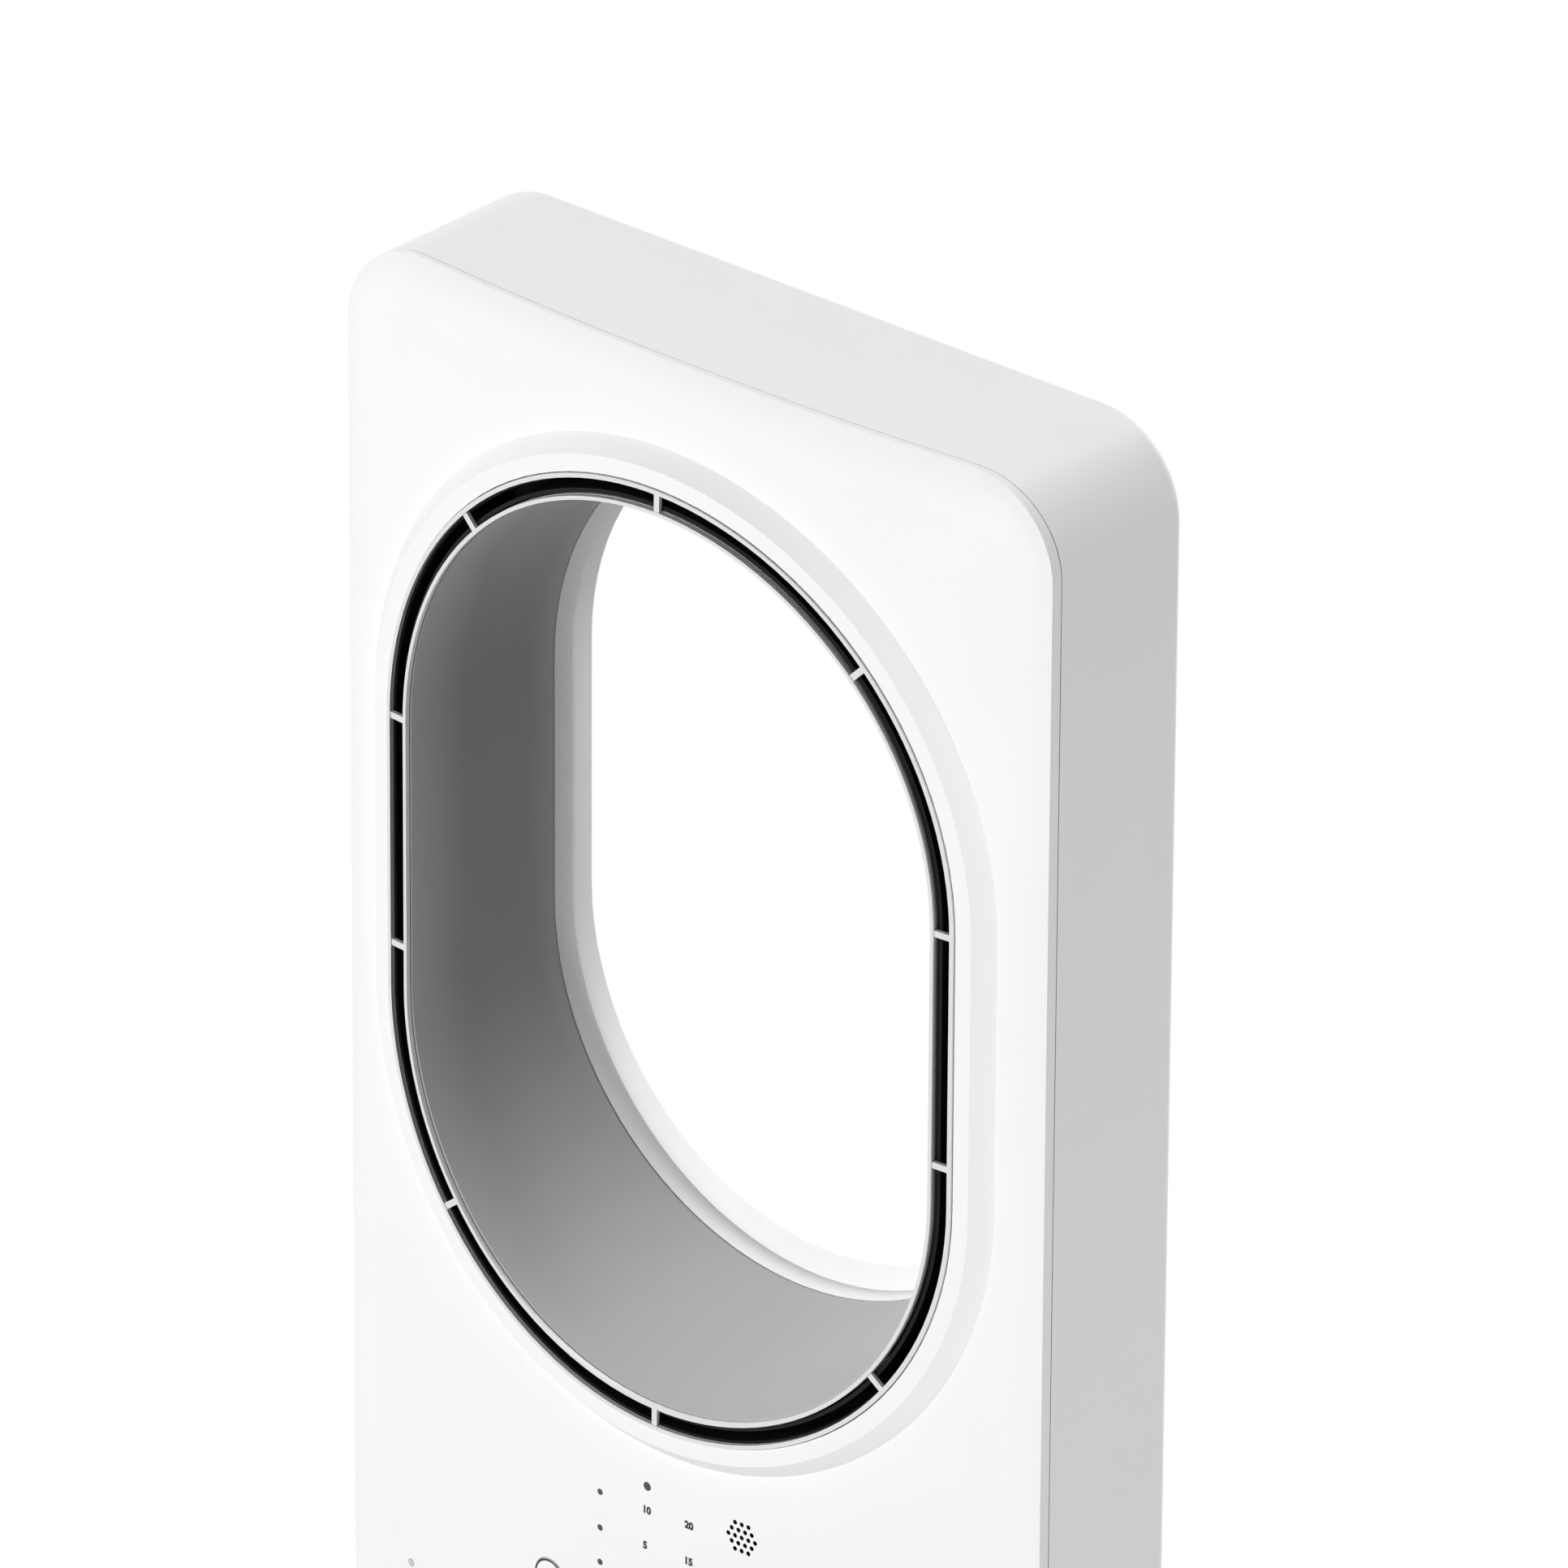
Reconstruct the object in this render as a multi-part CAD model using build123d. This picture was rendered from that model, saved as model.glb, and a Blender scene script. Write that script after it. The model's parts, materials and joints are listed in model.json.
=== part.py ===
"""Bladeless fan: a flat upright body with an air slot round its opening, swinging on a round stand.

Millimetres, +Z up, the front faces -Y, the origin is under the middle of the stand. Outlines are
drawn from the front, so their two coordinates are X and Z. "Ahead" is a distance in front of the
parting line between the front panel and the rear housing, along the crowned face.
"""

import os
from math import acos, cos, pi, radians, sin, tan

from build123d import *

os.makedirs("parts", exist_ok=True)

# ---- clearances ----
SEAT = 0.3  # between a piece and what carries or surrounds it
PRESS = 0.05  # between pieces that are pressed or glued together
RUNNING_FIT = 0.06  # round a turning shaft, on the radius
SCREW_FIT = 0.15  # round a screw, on the radius
CUT = 1.0  # how far a cut runs past the surface that it opens
JOIN = 0.1  # how far the forms of one piece run into each other

# ---- opening: half widths of upright oblong rings about one centre, from the inside out ----
BORE_HALF = 101.5
HALF_STRAIGHT = 44.0  # centre of the opening to the centre of each round end
INNER_RIM_W = 1.2
SLOT_W = 5.6
OUTER_RIM_W = 1.35
RIM_GAP = 0.35
RING_W = 5.4
BEVEL_W = 5.1
SLOT_IN = BORE_HALF + INNER_RIM_W
SLOT_OUT = SLOT_IN + SLOT_W
RIM_OUT = SLOT_OUT + OUTER_RIM_W
COLLAR_IN = RIM_OUT + RIM_GAP
COLLAR_TOP = COLLAR_IN + RING_W
COLLAR_FOOT = COLLAR_TOP + BEVEL_W

# ---- heights, from the floor up ----
STAND_H = 38.0  # floor to the body's underside
BLOWER_UP = 98.0  # body's underside to the blower's axle
OUTLET_UP = 88.0  # axle to the mouth of the scroll
GASKET_T = 1.8
CONTROL_H = 60.0  # mouth of the scroll to the roof of the control pocket
POCKET_MARGIN = 2.1  # roof of the pocket to the foot of the collar
TOP_MARGIN = 24.9  # collar to the top of the body
SIDE_MARGIN = 14.5  # collar to the side of the body
BLOWER_Z = STAND_H + BLOWER_UP
OUTLET_Z = BLOWER_Z + OUTLET_UP
POCKET_Z = OUTLET_Z + CONTROL_H
COLLAR_BOTTOM = POCKET_Z + POCKET_MARGIN
OPENING_Z = COLLAR_BOTTOM + COLLAR_FOOT + HALF_STRAIGHT
BODY_TOP = OPENING_Z + HALF_STRAIGHT + COLLAR_FOOT + TOP_MARGIN
BODY_H = BODY_TOP - STAND_H
BODY_MID_Z = STAND_H + BODY_H / 2
BODY_W = 2 * (COLLAR_FOOT + SIDE_MARGIN)

# ---- body shell ----
BODY_CORNER = 29.0
PARTING_Y = -20.0  # depth of the parting line at the sides
BACK_Y = 34.5
CROWN = 7.7  # how far the middle of the front stands ahead of its sides
FACE_AHEAD = 7.4
ROLL_W = 19.0  # how far in from the side the front starts to roll off
ROLL_R = 36.0
BACK_EDGE = 4.0
PANEL_WALL = 2.5
SHELL_WALL = 2.6
PARTING_GAP = 0.35
COLLAR_RISE = 5.2
BEVEL_SINK = 1.04  # the bevel runs on a little below the face
RIM_RISE = 5.8
TONGUE_T = 1.5
TONGUE_REACH = 3.0
SKIRT_T = 2.0
SKIRT_DEPTH = 6.5
CROWN_R = ((BODY_W / 2) ** 2 + CROWN**2) / (2 * CROWN)
CROWN_AXIS_Y = PARTING_Y - CROWN + CROWN_R
COLLAR_AHEAD = FACE_AHEAD + COLLAR_RISE
RIM_AHEAD = FACE_AHEAD + RIM_RISE
PANEL_INNER_AHEAD = FACE_AHEAD - PANEL_WALL
NOSE_Y = PARTING_Y - CROWN - RIM_AHEAD
BACK_INNER_Y = BACK_Y - SHELL_WALL
INNER_HALF_W = BODY_W / 2 - SHELL_WALL
PAST_FRONT = NOSE_Y - 10 * CUT

# ---- outlet grille, nozzle and liner ----
RIM_T = 1.6
RIB_T = 2.0
RIB_SINK = 0.4
RIB_SEAT = 0.5  # how far a rib runs into the rim or wall at each end
CAP_RIB_ANGLES = (0, 45, 90, 135, 180)
FOOT_RIB_ANGLES = (-38, -90, -142)
SIDE_RIB_DROP = 31.0  # side ribs below the middle of the opening
LINER_WALL = 1.5
NOZZLE_WALL = 1.2
THROAT = 3.1
NOZZLE_FIT = 0.45
NOZZLE_FLARE = 5.0
NOZZLE_STRAIGHT_Y = -18.0
NOZZLE_END_Y = -6.0
NOZZLE_IN = BORE_HALF + LINER_WALL + SEAT
THROAT_IN = NOZZLE_IN + NOZZLE_WALL
THROAT_OUT = THROAT_IN + THROAT
NOZZLE_OUT = COLLAR_IN - NOZZLE_FIT
WEB_T = 1.6
LINER_TAPER = 5.3  # how much less the half width is at the rear end of the liner
STRAIGHT_TAPER = 4.2
REAR_RISE = 5.8  # rear end of the liner above the front end
LINER_END_Y = 22.3
LINER_FLANGE_W = 2.4
LINER_FLANGE_T = 1.8
LINER_GASKET_T = 0.8
COLLAR_WALL = 4.4
HOLE_STEP = 4.6  # how much less the half width is at the back than at the rear of the liner
HOLE_STRETCH = 1.0  # how much more its half straight is
HOLE_LIFT = 3.2
HOLE_BEVEL_D = 3.5
REAR_HALF = BORE_HALF - LINER_TAPER
REAR_STRAIGHT = HALF_STRAIGHT - STRAIGHT_TAPER
REAR_Z = OPENING_Z + REAR_RISE
HOLE_HALF = REAR_HALF - HOLE_STEP
HOLE_STRAIGHT = REAR_STRAIGHT + HOLE_STRETCH
HOLE_Z = REAR_Z + HOLE_LIFT
REAR_COLLAR_Y = LINER_END_Y + LINER_GASKET_T + 2 * PRESS

# ---- joining screws of the two shells ----
SCREW_R = 1.5
SCREW_HEAD_R = 2.8
SCREW_HEAD_T = 1.8
BOSS_WALL = 2.0
BOSS_IN = 13.0  # boss centres in from the body's side
BOSS_END_IN = 23.0  # top and bottom bosses in from the body's ends
BOSS_MID_UP = 12.0  # middle bosses above the control pocket
BOSS_MEET_Y = -12.0
BOSS_SHOULDER = 3.0
SCREW_GRIP = 9.0
BOSS_X = BODY_W / 2 - BOSS_IN
BOSS_ZS = (STAND_H + BOSS_END_IN, POCKET_Z + BOSS_MID_UP, BODY_TOP - BOSS_END_IN)
BOSS_CENTRES = [(side * BOSS_X, z) for z in BOSS_ZS for side in (-1, 1)]

# ---- control pocket ----
KEY_XS = (-47.0, -15.7, 15.7, 47.0)
KEY_BELOW = 59.1  # key row below the collar
KEY_R = 5.9
KEY_GAP = 0.3
KEY_PROUD = 0.35
KEY_FLANGE_R = 7.4
KEY_FLANGE_Y = -30.2
KEY_STEM_R = 2.2
KEY_TRAVEL = 0.6
BOARD_Y = -24.6  # front of the control board
BOARD_T = 1.6
BOARD_HALF_W = 62.0
BOARD_BELOW_KEYS = 6.0
BOARD_ABOVE_KEYS = 50.0
STANDOFF_R = 2.6
STANDOFF_IN = 4.0
TACT_SIDE = 6.0
TACT_H = 3.3
TACT_TIP_R = 1.7
TACT_TIP_H = 0.8
GUIDE_X = -26.4
GUIDE_BELOW = (22.4, 34.5, 46.2)
GUIDE_R = 0.9
GUIDE_BAR_W = 4.0
GUIDE_BAR_Y = -28.4
GUIDE_BAR_T = 1.2
EYE_X = -7.5
EYE_BELOW = 13.5
EYE_R = 1.3
BUZZER_X = 29.4
BUZZER_BELOW = 17.4
BUZZER_R = 6.0
BUZZER_H = 5.6
SENSOR_X = -106.4
SENSOR_BELOW = 78.0
SENSOR_R = 1.1
SENSOR_BOARD_W = 18.0
SENSOR_BOARD_H = 12.0
MAIN_BOARD_W = 150.0
MAIN_BOARD_H = 44.0
MAIN_BOARD_UP = 36.0  # its centre above the body's underside
CAPACITOR_XS = (-56.0, -38.0)
CAPACITOR_R = 3.2
CAPACITOR_H = 5.0
COIL_X = 20.0
COIL_W = 14.0
COIL_H = 4.6
MAIN_BOARD_Z = STAND_H + MAIN_BOARD_UP
KEY_Z = COLLAR_BOTTOM - KEY_BELOW
SENSOR_Z = COLLAR_BOTTOM - SENSOR_BELOW
TACT_TIP_Y = BOARD_Y - TACT_H - TACT_TIP_H

# ---- plenum wall ----
PLENUM_T = 2.0
PLENUM_WALL_Y = -21.0
SHELF_Z = OUTLET_Z + GASKET_T + 2 * SEAT

# ---- scroll ----
CASE_FRONT_Y = -17.9
CASE_WALL = 2.0
COVER_Y = 14.3
COVER_T = 2.0
SCROLL_STEP = 6.0
SCROLL_R = 82.0  # second of the four arcs, each wider than the last by the step
OUTLET_INNER_X = 48.0
BELL_R = 50.0
BELL_LIP = 2.6
BELL_WALL = 1.6
BELL_ROUND = 1.8
LUG_R = 4.4
LUG_PLACES = ((-88.0, 34.0), (-88.0, -40.0), (101.0, 66.0), (101.0, -26.0))
LUG_T = 2.4
POST_PIN_R = 1.6

# ---- motor and impeller ----
BRACKET_R = 34.0
BRACKET_T = 1.6
MOTOR_WINDOW_R = 27.0
GROMMET_R = 4.0
GROMMET_AT = 30.5
GROMMET_T = 1.2
BEARING_TUBE_R = 7.4
BEARING_R = 5.5
BEARING_W = 4.0
AXLE_R = 2.0
ROTOR_BOSS_R = 5.0
STATOR_R = 20.0
STATOR_CORE_R = 12.0
STATOR_POLES = 9
POLE_NECK_W = 3.2
POLE_SHOE_T = 2.0
POLE_SHOE_SHARE = 0.8  # of the angle that one pole takes
STATOR_START = -8.5
STATOR_END = 1.0
MAGNET_T = 2.6
AIR_GAP = 0.5
CUP_WALL = 1.4
CUP_START = -10.5
CUP_END = 5.4
HUB_WALL = 1.6
MOTOR_BOARD_R = 24.0
MOTOR_BOARD_Y = -13.6
IMPELLER_R = 66.0
IMPELLER_START = -12.6
IMPELLER_END = 11.0
PLATE_T = 1.5
BLADE_T = 1.5
BLADE_COUNT = 11
BLADE_SWEEP = 62.0
BLADE_LEAN = 0.55
BLADE_START = 4.0  # clear of the hub
EYE_IN_R = 49.0
NUT_R = 4.6
NUT_T = 3.0

# ---- intake ----
WINDOW_W = 150.0
WINDOW_H = 136.0
WINDOW_CORNER = 8.0
FRAME_IN = 3.0  # inside of the filter frame, out from the window
FRAME_WALL = 2.0
FILTER_T = 6.0
LEDGE_W = 4.0
LEDGE_T = 1.6
CORNER_BLOCK = 13.0
GRILLE_ROWS = 12
GRILLE_PITCH = 10.0
GRILLE_SLOT = 5.0
GRILLE_SLOT_W = 64.0
GRILLE_SCREW_IN = 6.5

# ---- turntable and stand ----
NECK_W = 184.0
NECK_D = 48.0
NECK_CORNER = 12.0
CABLE_R = 11.0
PAD_SCREW_X = 48.0
PAD_SCREW_Y = 15.0
TURN_R = 65.0
TURN_T = 3.0
TURN_GAP = 0.5
STAND_TOP_Z = 33.3
STAND_R = 120.0
STAND_WALL = 2.8
STAND_FOOT_Z = 2.6
SHOULDER_Z = 18.6
SHOULDER_ROUND = 9.0
SHOULDER_INNER = 4.0
RIM_FLAT = 2.6
HUB_R = 20.0
HUB_BORE_R = 12.0
BUSH_WALL = 3.5
BUSH_FLANGE_R = 33.0
BUSH_FLANGE_T = 1.0
SLEEVE_WALL = 2.8
SLEEVE_Z = 14.5
BOTTOM_Z = 2.2
BOTTOM_T = 2.2
FOOT_R = 8.0
FOOT_IN = 22.0  # foot centres in from the edge of the stand
FOOT_SINK = 0.8
BASE_POST_IN = 10.0
BALLAST_IN_R = 70.0
BALLAST_MARGIN = 16.0
BALLAST_T = 6.0
FOOT_AT = STAND_R - FOOT_IN
BASE_POST_AT = STAND_R - BASE_POST_IN
BALLAST_OUT_R = STAND_R - BALLAST_MARGIN
TURN_TOP_Z = STAND_TOP_Z
TURN_Z = TURN_TOP_Z - TURN_T
RECESS_R = TURN_R + TURN_GAP
RECESS_Z = TURN_Z - SEAT - BUSH_FLANGE_T
BUSH_R = HUB_R + RUNNING_FIT + BUSH_WALL

# ---- swing drive ----
GEAR_MODULE = 1.5
GEAR_TEETH = 48
PINION_TEETH = 12
GEAR_PRESSURE = radians(20)
GEAR_BACKLASH = 0.22
ADDENDUM = 0.8
DEDENDUM = 1.1
SECTOR_TEETH = 15
GEAR_Z = 7.0
GEAR_T = 5.0
GEAR_HUB_R = 25.0
GEAR_SCREW_AT = 16.2
GEAR_SCREWS = 3
MOTOR_CAN_R = 14.0
MOTOR_CAN_OFFSET = 8.0
MOTOR_FACE_Z = 13.0
MOTOR_EAR_T = 0.8
MOTOR_EAR_AT = 17.5
MOTOR_EAR_R = 3.5
PINION_SHAFT_R = 2.5
PINION_SHAFT_REACH = 4.0  # into the motor
PINION_AT_Y = GEAR_MODULE * (GEAR_TEETH + PINION_TEETH) / 2
MOTOR_Y = PINION_AT_Y + MOTOR_CAN_OFFSET

# ---- power inlet ----
INLET_R = 4.0
INLET_BORE_R = 2.8
INLET_PIN_R = 1.0
INLET_Z = 9.4
INLET_BOX_W = 9.0
INLET_BOX_D = 11.0
INLET_NOSE = 5.0
INLET_ROOM = 5.0  # on either side, where the ballast is cut away


# ---- helpers ----
def prism(outline, front_y, back_y):
    """Stretch a front-view outline between two depths."""
    return extrude(Plane.XZ.offset(-back_y) * outline, back_y - front_y)


def at(x, z, outline):
    """Place a front-view outline."""
    return Pos(x, z) * outline


def oblong(half_width, half_straight, centre_z):
    """Upright outline with straight sides and round ends."""
    return at(0, centre_z, SlotCenterToCenter(2 * half_straight, 2 * half_width, rotation=90))


def opening(half_width):
    """Oblong outline that shares the centre of the opening."""
    return oblong(half_width, HALF_STRAIGHT, OPENING_Z)


def crown(ahead):
    """Upright drum whose front is the crowned surface, so far ahead of the parting line."""
    return Pos(0, CROWN_AXIS_Y, BODY_MID_Z) * Cylinder(CROWN_R + ahead, 2 * BODY_H)


def between_crowns(solid, ahead_front, ahead_back):
    """Keep what lies between two crowned surfaces."""
    return (solid & crown(ahead_front)) - crown(ahead_back)


def body_outline(inset):
    """Outline of the body, moved in by this much."""
    corner = BODY_CORNER - inset
    return at(0, BODY_MID_Z, RectangleRounded(BODY_W - 2 * inset, BODY_H - 2 * inset, corner))


def disc(radius, bottom_z, top_z, bore=0.0):
    """Upright disc or tube about the Z axis."""
    ring = Circle(radius)
    if bore > 0:
        ring -= Circle(bore)
    return extrude(Plane.XY.offset(bottom_z) * ring, top_z - bottom_z)


def racetrack(profile):
    """Sweep a profile, given as half width and depth, round the opening."""
    section = make_face(Polyline(profile, close=True))
    axle = Axis((0, 0, 0), (0, 1, 0))
    round_top = Pos(0, 0, OPENING_Z + HALF_STRAIGHT) * revolve(section, axle, -180)
    round_foot = Pos(0, 0, OPENING_Z - HALF_STRAIGHT) * revolve(section, axle, 180)
    side = Pos(0, 0, OPENING_Z - HALF_STRAIGHT) * extrude(section, 2 * HALF_STRAIGHT)
    return round_top + round_foot + side + mirror(side, Plane.YZ)


def rib_bars(length_in, length_out, thickness, front_y, back_y):
    """Bars across the slot at the ten rib places."""
    bar = at((length_in + length_out) / 2, 0, Rectangle(length_out - length_in, thickness))
    bars = []
    for angle in CAP_RIB_ANGLES:
        bars.append(Pos(0, OPENING_Z + HALF_STRAIGHT) * Rot(0, 0, angle) * bar)
    for angle in FOOT_RIB_ANGLES:
        bars.append(Pos(0, OPENING_Z - HALF_STRAIGHT) * Rot(0, 0, angle) * bar)
    for angle in (0, 180):
        bars.append(Pos(0, OPENING_Z - SIDE_RIB_DROP) * Rot(0, 0, angle) * bar)
    return [prism(one, front_y, back_y) for one in bars]


def save(name, shape):
    """Write one piece, or one group of like pieces, to its file."""
    solids = shape.solids()
    whole = solids[0] if len(solids) == 1 else Compound(children=list(solids))
    export_step(whole, f"parts/{name}.step")


# ---- shells ----
def tray_block(inset, ahead):
    """Body-sized block with a crowned front that rolls off towards its sides."""
    roll = ROLL_R - inset
    blank = prism(body_outline(ROLL_W - roll), PAST_FRONT, BACK_Y) & crown(ahead)
    front = blank.faces().sort_by(Axis.Y)[0]
    return fillet(front.edges(), roll) & prism(body_outline(inset), PAST_FRONT, BACK_Y)


def tongue():
    """Locating lip of the front panel, just inside the wall of the rear housing."""
    inset = SHELL_WALL + SEAT
    inner = body_outline(inset + TONGUE_T)
    lip = prism(body_outline(inset) - inner, PAST_FRONT, BACK_INNER_Y)
    root = prism(body_outline(PANEL_WALL - JOIN) - inner, PAST_FRONT, BACK_INNER_Y)
    lip = between_crowns(lip, PARTING_GAP, -TONGUE_REACH)
    return lip + between_crowns(root, PANEL_INNER_AHEAD / 2, 0)


def collar():
    """Raised ring round the opening, flat on top with a bevel down to the face."""
    block = prism(opening(COLLAR_TOP + BEVEL_W * BEVEL_SINK), PAST_FRONT, PARTING_Y)
    block = between_crowns(block, COLLAR_AHEAD, PANEL_INNER_AHEAD)
    front = block.faces().sort_by(Axis.Y)[0]
    return chamfer(front.edges(), BEVEL_W * BEVEL_SINK, COLLAR_RISE * BEVEL_SINK, reference=front)


def front_panel():
    """White front shell with the collar, the key holes and its bosses."""
    shell = tray_block(0, FACE_AHEAD) - tray_block(PANEL_WALL, PANEL_INNER_AHEAD)
    shell -= crown(0)
    shell += collar()
    shell += tongue()
    skirt = prism(opening(COLLAR_IN + SKIRT_T) - opening(COLLAR_IN), PAST_FRONT, BACK_INNER_Y)
    shell += between_crowns(skirt, PANEL_INNER_AHEAD + JOIN, PANEL_INNER_AHEAD - SKIRT_DEPTH)
    shell -= prism(opening(COLLAR_IN), PAST_FRONT, BACK_INNER_Y)
    bosses = [prism(at(x, z, Circle(SCREW_R + SCREW_FIT + BOSS_WALL)), PAST_FRONT, BOSS_MEET_Y)
              for x, z in BOSS_CENTRES]
    bosses += [prism(at(x, z, Circle(STANDOFF_R)), PAST_FRONT, BOARD_Y - SEAT)
               for x, z in standoff_places()]
    bosses += [prism(at(x, SENSOR_Z, Circle(STANDOFF_R)), PAST_FRONT, BOARD_Y - SEAT)
               for x in sensor_post_xs()]
    bosses += [prism(at(x, z, Circle(STANDOFF_R)), PAST_FRONT, BOARD_Y - SEAT)
               for x, z in main_board_posts()]
    for boss in bosses:
        shell += boss & crown(PANEL_INNER_AHEAD + JOIN)
    cuts = [at(x, KEY_Z, Circle(KEY_R + KEY_GAP)) for x in KEY_XS]
    cuts += [at(GUIDE_X, COLLAR_BOTTOM - below, Circle(GUIDE_R + SCREW_FIT)) for below in GUIDE_BELOW]
    cuts.append(at(EYE_X, COLLAR_BOTTOM - EYE_BELOW, Circle(EYE_R + SCREW_FIT)))
    cuts.append(at(SENSOR_X, SENSOR_Z, Circle(SENSOR_R + SCREW_FIT)))
    for cut in cuts:
        shell -= prism(cut, PAST_FRONT, PARTING_Y)
    for x, z in BOSS_CENTRES:
        pilot = at(x, z, Circle(SCREW_R + SCREW_FIT))
        shell -= prism(pilot, BOSS_MEET_Y - SCREW_GRIP - SEAT, BOSS_MEET_Y + CUT)
    return shell


def rear_collar():
    """Ring on the back wall that meets the liner and bevels in to the rear hole."""
    ring = prism(oblong(REAR_HALF + COLLAR_WALL, REAR_STRAIGHT, REAR_Z), REAR_COLLAR_Y, BACK_Y)
    ring -= prism(oblong(REAR_HALF, REAR_STRAIGHT, REAR_Z), REAR_COLLAR_Y - CUT, BACK_Y - HOLE_BEVEL_D)
    wide = Plane.XZ.offset(HOLE_BEVEL_D - BACK_Y) * oblong(REAR_HALF, REAR_STRAIGHT, REAR_Z)
    narrow = Plane.XZ.offset(-BACK_Y) * oblong(HOLE_HALF, HOLE_STRAIGHT, HOLE_Z)
    return ring - loft([wide, narrow], ruled=True)


def window_outline(grow):
    """Outline of the intake window, moved out by this much."""
    corner = WINDOW_CORNER + max(grow, 0)
    return at(0, BLOWER_Z, RectangleRounded(WINDOW_W + 2 * grow, WINDOW_H + 2 * grow, corner))


def window_corners(inset):
    """Places near the four corners of the intake window."""
    half_w = WINDOW_W / 2 - inset
    half_h = WINDOW_H / 2 - inset
    return [(x, BLOWER_Z + z) for x in (-half_w, half_w) for z in (-half_h, half_h)]


def filter_frame():
    """Walls round the filter, with a block in each corner that the grille rests on."""
    wall = window_outline(FRAME_IN + FRAME_WALL) - window_outline(FRAME_IN)
    frame = prism(wall, COVER_Y + COVER_T + SEAT, BACK_INNER_Y + JOIN)
    filter_front = BACK_INNER_Y - 2 * SEAT - FILTER_T
    ledge = window_outline(FRAME_IN + FRAME_WALL / 2) - window_outline(-LEDGE_W)
    frame += prism(ledge, filter_front - LEDGE_T, filter_front)
    for x, z in window_corners(GRILLE_SCREW_IN - FRAME_IN):
        block = at(x, z, Rectangle(CORNER_BLOCK, CORNER_BLOCK))
        block &= window_outline(FRAME_IN + FRAME_WALL / 2)
        frame += prism(block, BACK_INNER_Y - FILTER_T - SEAT, BACK_INNER_Y - SEAT)
    for x, z in window_corners(GRILLE_SCREW_IN):
        pilot = at(x, z, Circle(SCREW_R + SCREW_FIT))
        frame -= prism(pilot, COVER_Y, BACK_INNER_Y + CUT)
    return frame


def rear_housing():
    """White rear shell with the collar behind the opening, the screw bosses and the intake window."""
    block = prism(body_outline(0), PAST_FRONT, BACK_Y) & crown(-PARTING_GAP)
    back = block.faces().sort_by(Axis.Y)[-1]
    block = fillet(back.edges(), BACK_EDGE)
    shell = block - prism(body_outline(SHELL_WALL), PAST_FRONT, BACK_INNER_Y)
    shell -= prism(oblong(REAR_HALF + COLLAR_WALL - CUT, REAR_STRAIGHT, REAR_Z), 0, BACK_Y + CUT)
    shell += rear_collar()
    head_r = SCREW_HEAD_R + SCREW_FIT
    for x, z in BOSS_CENTRES:
        shell += prism(at(x, z, Circle(head_r + BOSS_WALL)), BOSS_MEET_Y + SEAT, BACK_INNER_Y + JOIN)
    for x, z in BOSS_CENTRES:
        shell -= prism(at(x, z, Circle(head_r)), BOSS_MEET_Y + SEAT + BOSS_SHOULDER, BACK_Y + CUT)
        shell -= prism(at(x, z, Circle(SCREW_R + SCREW_FIT)), BOSS_MEET_Y - CUT, BACK_Y)
    shell -= prism(window_outline(0), BACK_INNER_Y - CUT, BACK_Y + CUT)
    shell += filter_frame()
    for x, z in LUG_PLACES:
        post = prism(at(x, BLOWER_Z + z, Circle(LUG_R)), COVER_Y + SEAT, BACK_INNER_Y + JOIN)
        pin = prism(at(x, BLOWER_Z + z, Circle(POST_PIN_R)), COVER_Y - LUG_T, COVER_Y + CUT)
        shell += post + pin
    shell -= disc(CABLE_R, STAND_H - CUT, STAND_H + SHELL_WALL + CUT)
    for x, y in pad_screw_places():
        shell -= Pos(x, y, 0) * disc(SCREW_R + SCREW_FIT, STAND_H - CUT, STAND_H + SHELL_WALL + CUT)
    return shell


# ---- air path at the opening ----
def outlet_grille():
    """Two thin rims on either side of the slot, joined by ten ribs."""
    inner = opening(SLOT_IN) - opening(BORE_HALF)
    outer = opening(RIM_OUT) - opening(SLOT_OUT)
    rims = prism(inner, PAST_FRONT, PARTING_Y) + prism(outer, PAST_FRONT, PARTING_Y)
    rims = between_crowns(rims, RIM_AHEAD, RIM_AHEAD - RIM_T)
    for rib in rib_bars(SLOT_IN - RIB_SEAT, SLOT_OUT + RIB_SEAT, RIB_T, PAST_FRONT, PARTING_Y):
        rims += between_crowns(rib, RIM_AHEAD - RIB_SINK, RIM_AHEAD - RIM_T)
    return rims


def nozzle_ring():
    """Two walls that close in to the narrow throat behind the grille, tied by ten webs."""
    outer = racetrack([
        (THROAT_OUT, PAST_FRONT), (NOZZLE_OUT, PAST_FRONT), (NOZZLE_OUT, NOZZLE_STRAIGHT_Y),
        (NOZZLE_OUT + NOZZLE_FLARE, NOZZLE_END_Y), (THROAT_OUT + NOZZLE_FLARE, NOZZLE_END_Y),
        (THROAT_OUT, NOZZLE_STRAIGHT_Y)])
    inner = racetrack([
        (NOZZLE_IN, PAST_FRONT), (THROAT_IN, PAST_FRONT),
        (THROAT_IN, NOZZLE_STRAIGHT_Y), (NOZZLE_IN, NOZZLE_STRAIGHT_Y)])
    ring = outer + inner
    for web in rib_bars(THROAT_IN - RIB_SEAT, THROAT_OUT + RIB_SEAT, WEB_T, PAST_FRONT, NOZZLE_STRAIGHT_Y):
        ring += web
    return ring & crown(RIM_AHEAD - RIM_T - SEAT)


def liner_solid(grow):
    """Tapering core of the opening, larger by this much all round."""
    front = Plane.XZ.offset(-NOSE_Y) * opening(BORE_HALF + grow)
    rear = Plane.XZ.offset(-LINER_END_Y) * oblong(REAR_HALF + grow, REAR_STRAIGHT, REAR_Z)
    return loft([rear, front], ruled=True)


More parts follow.
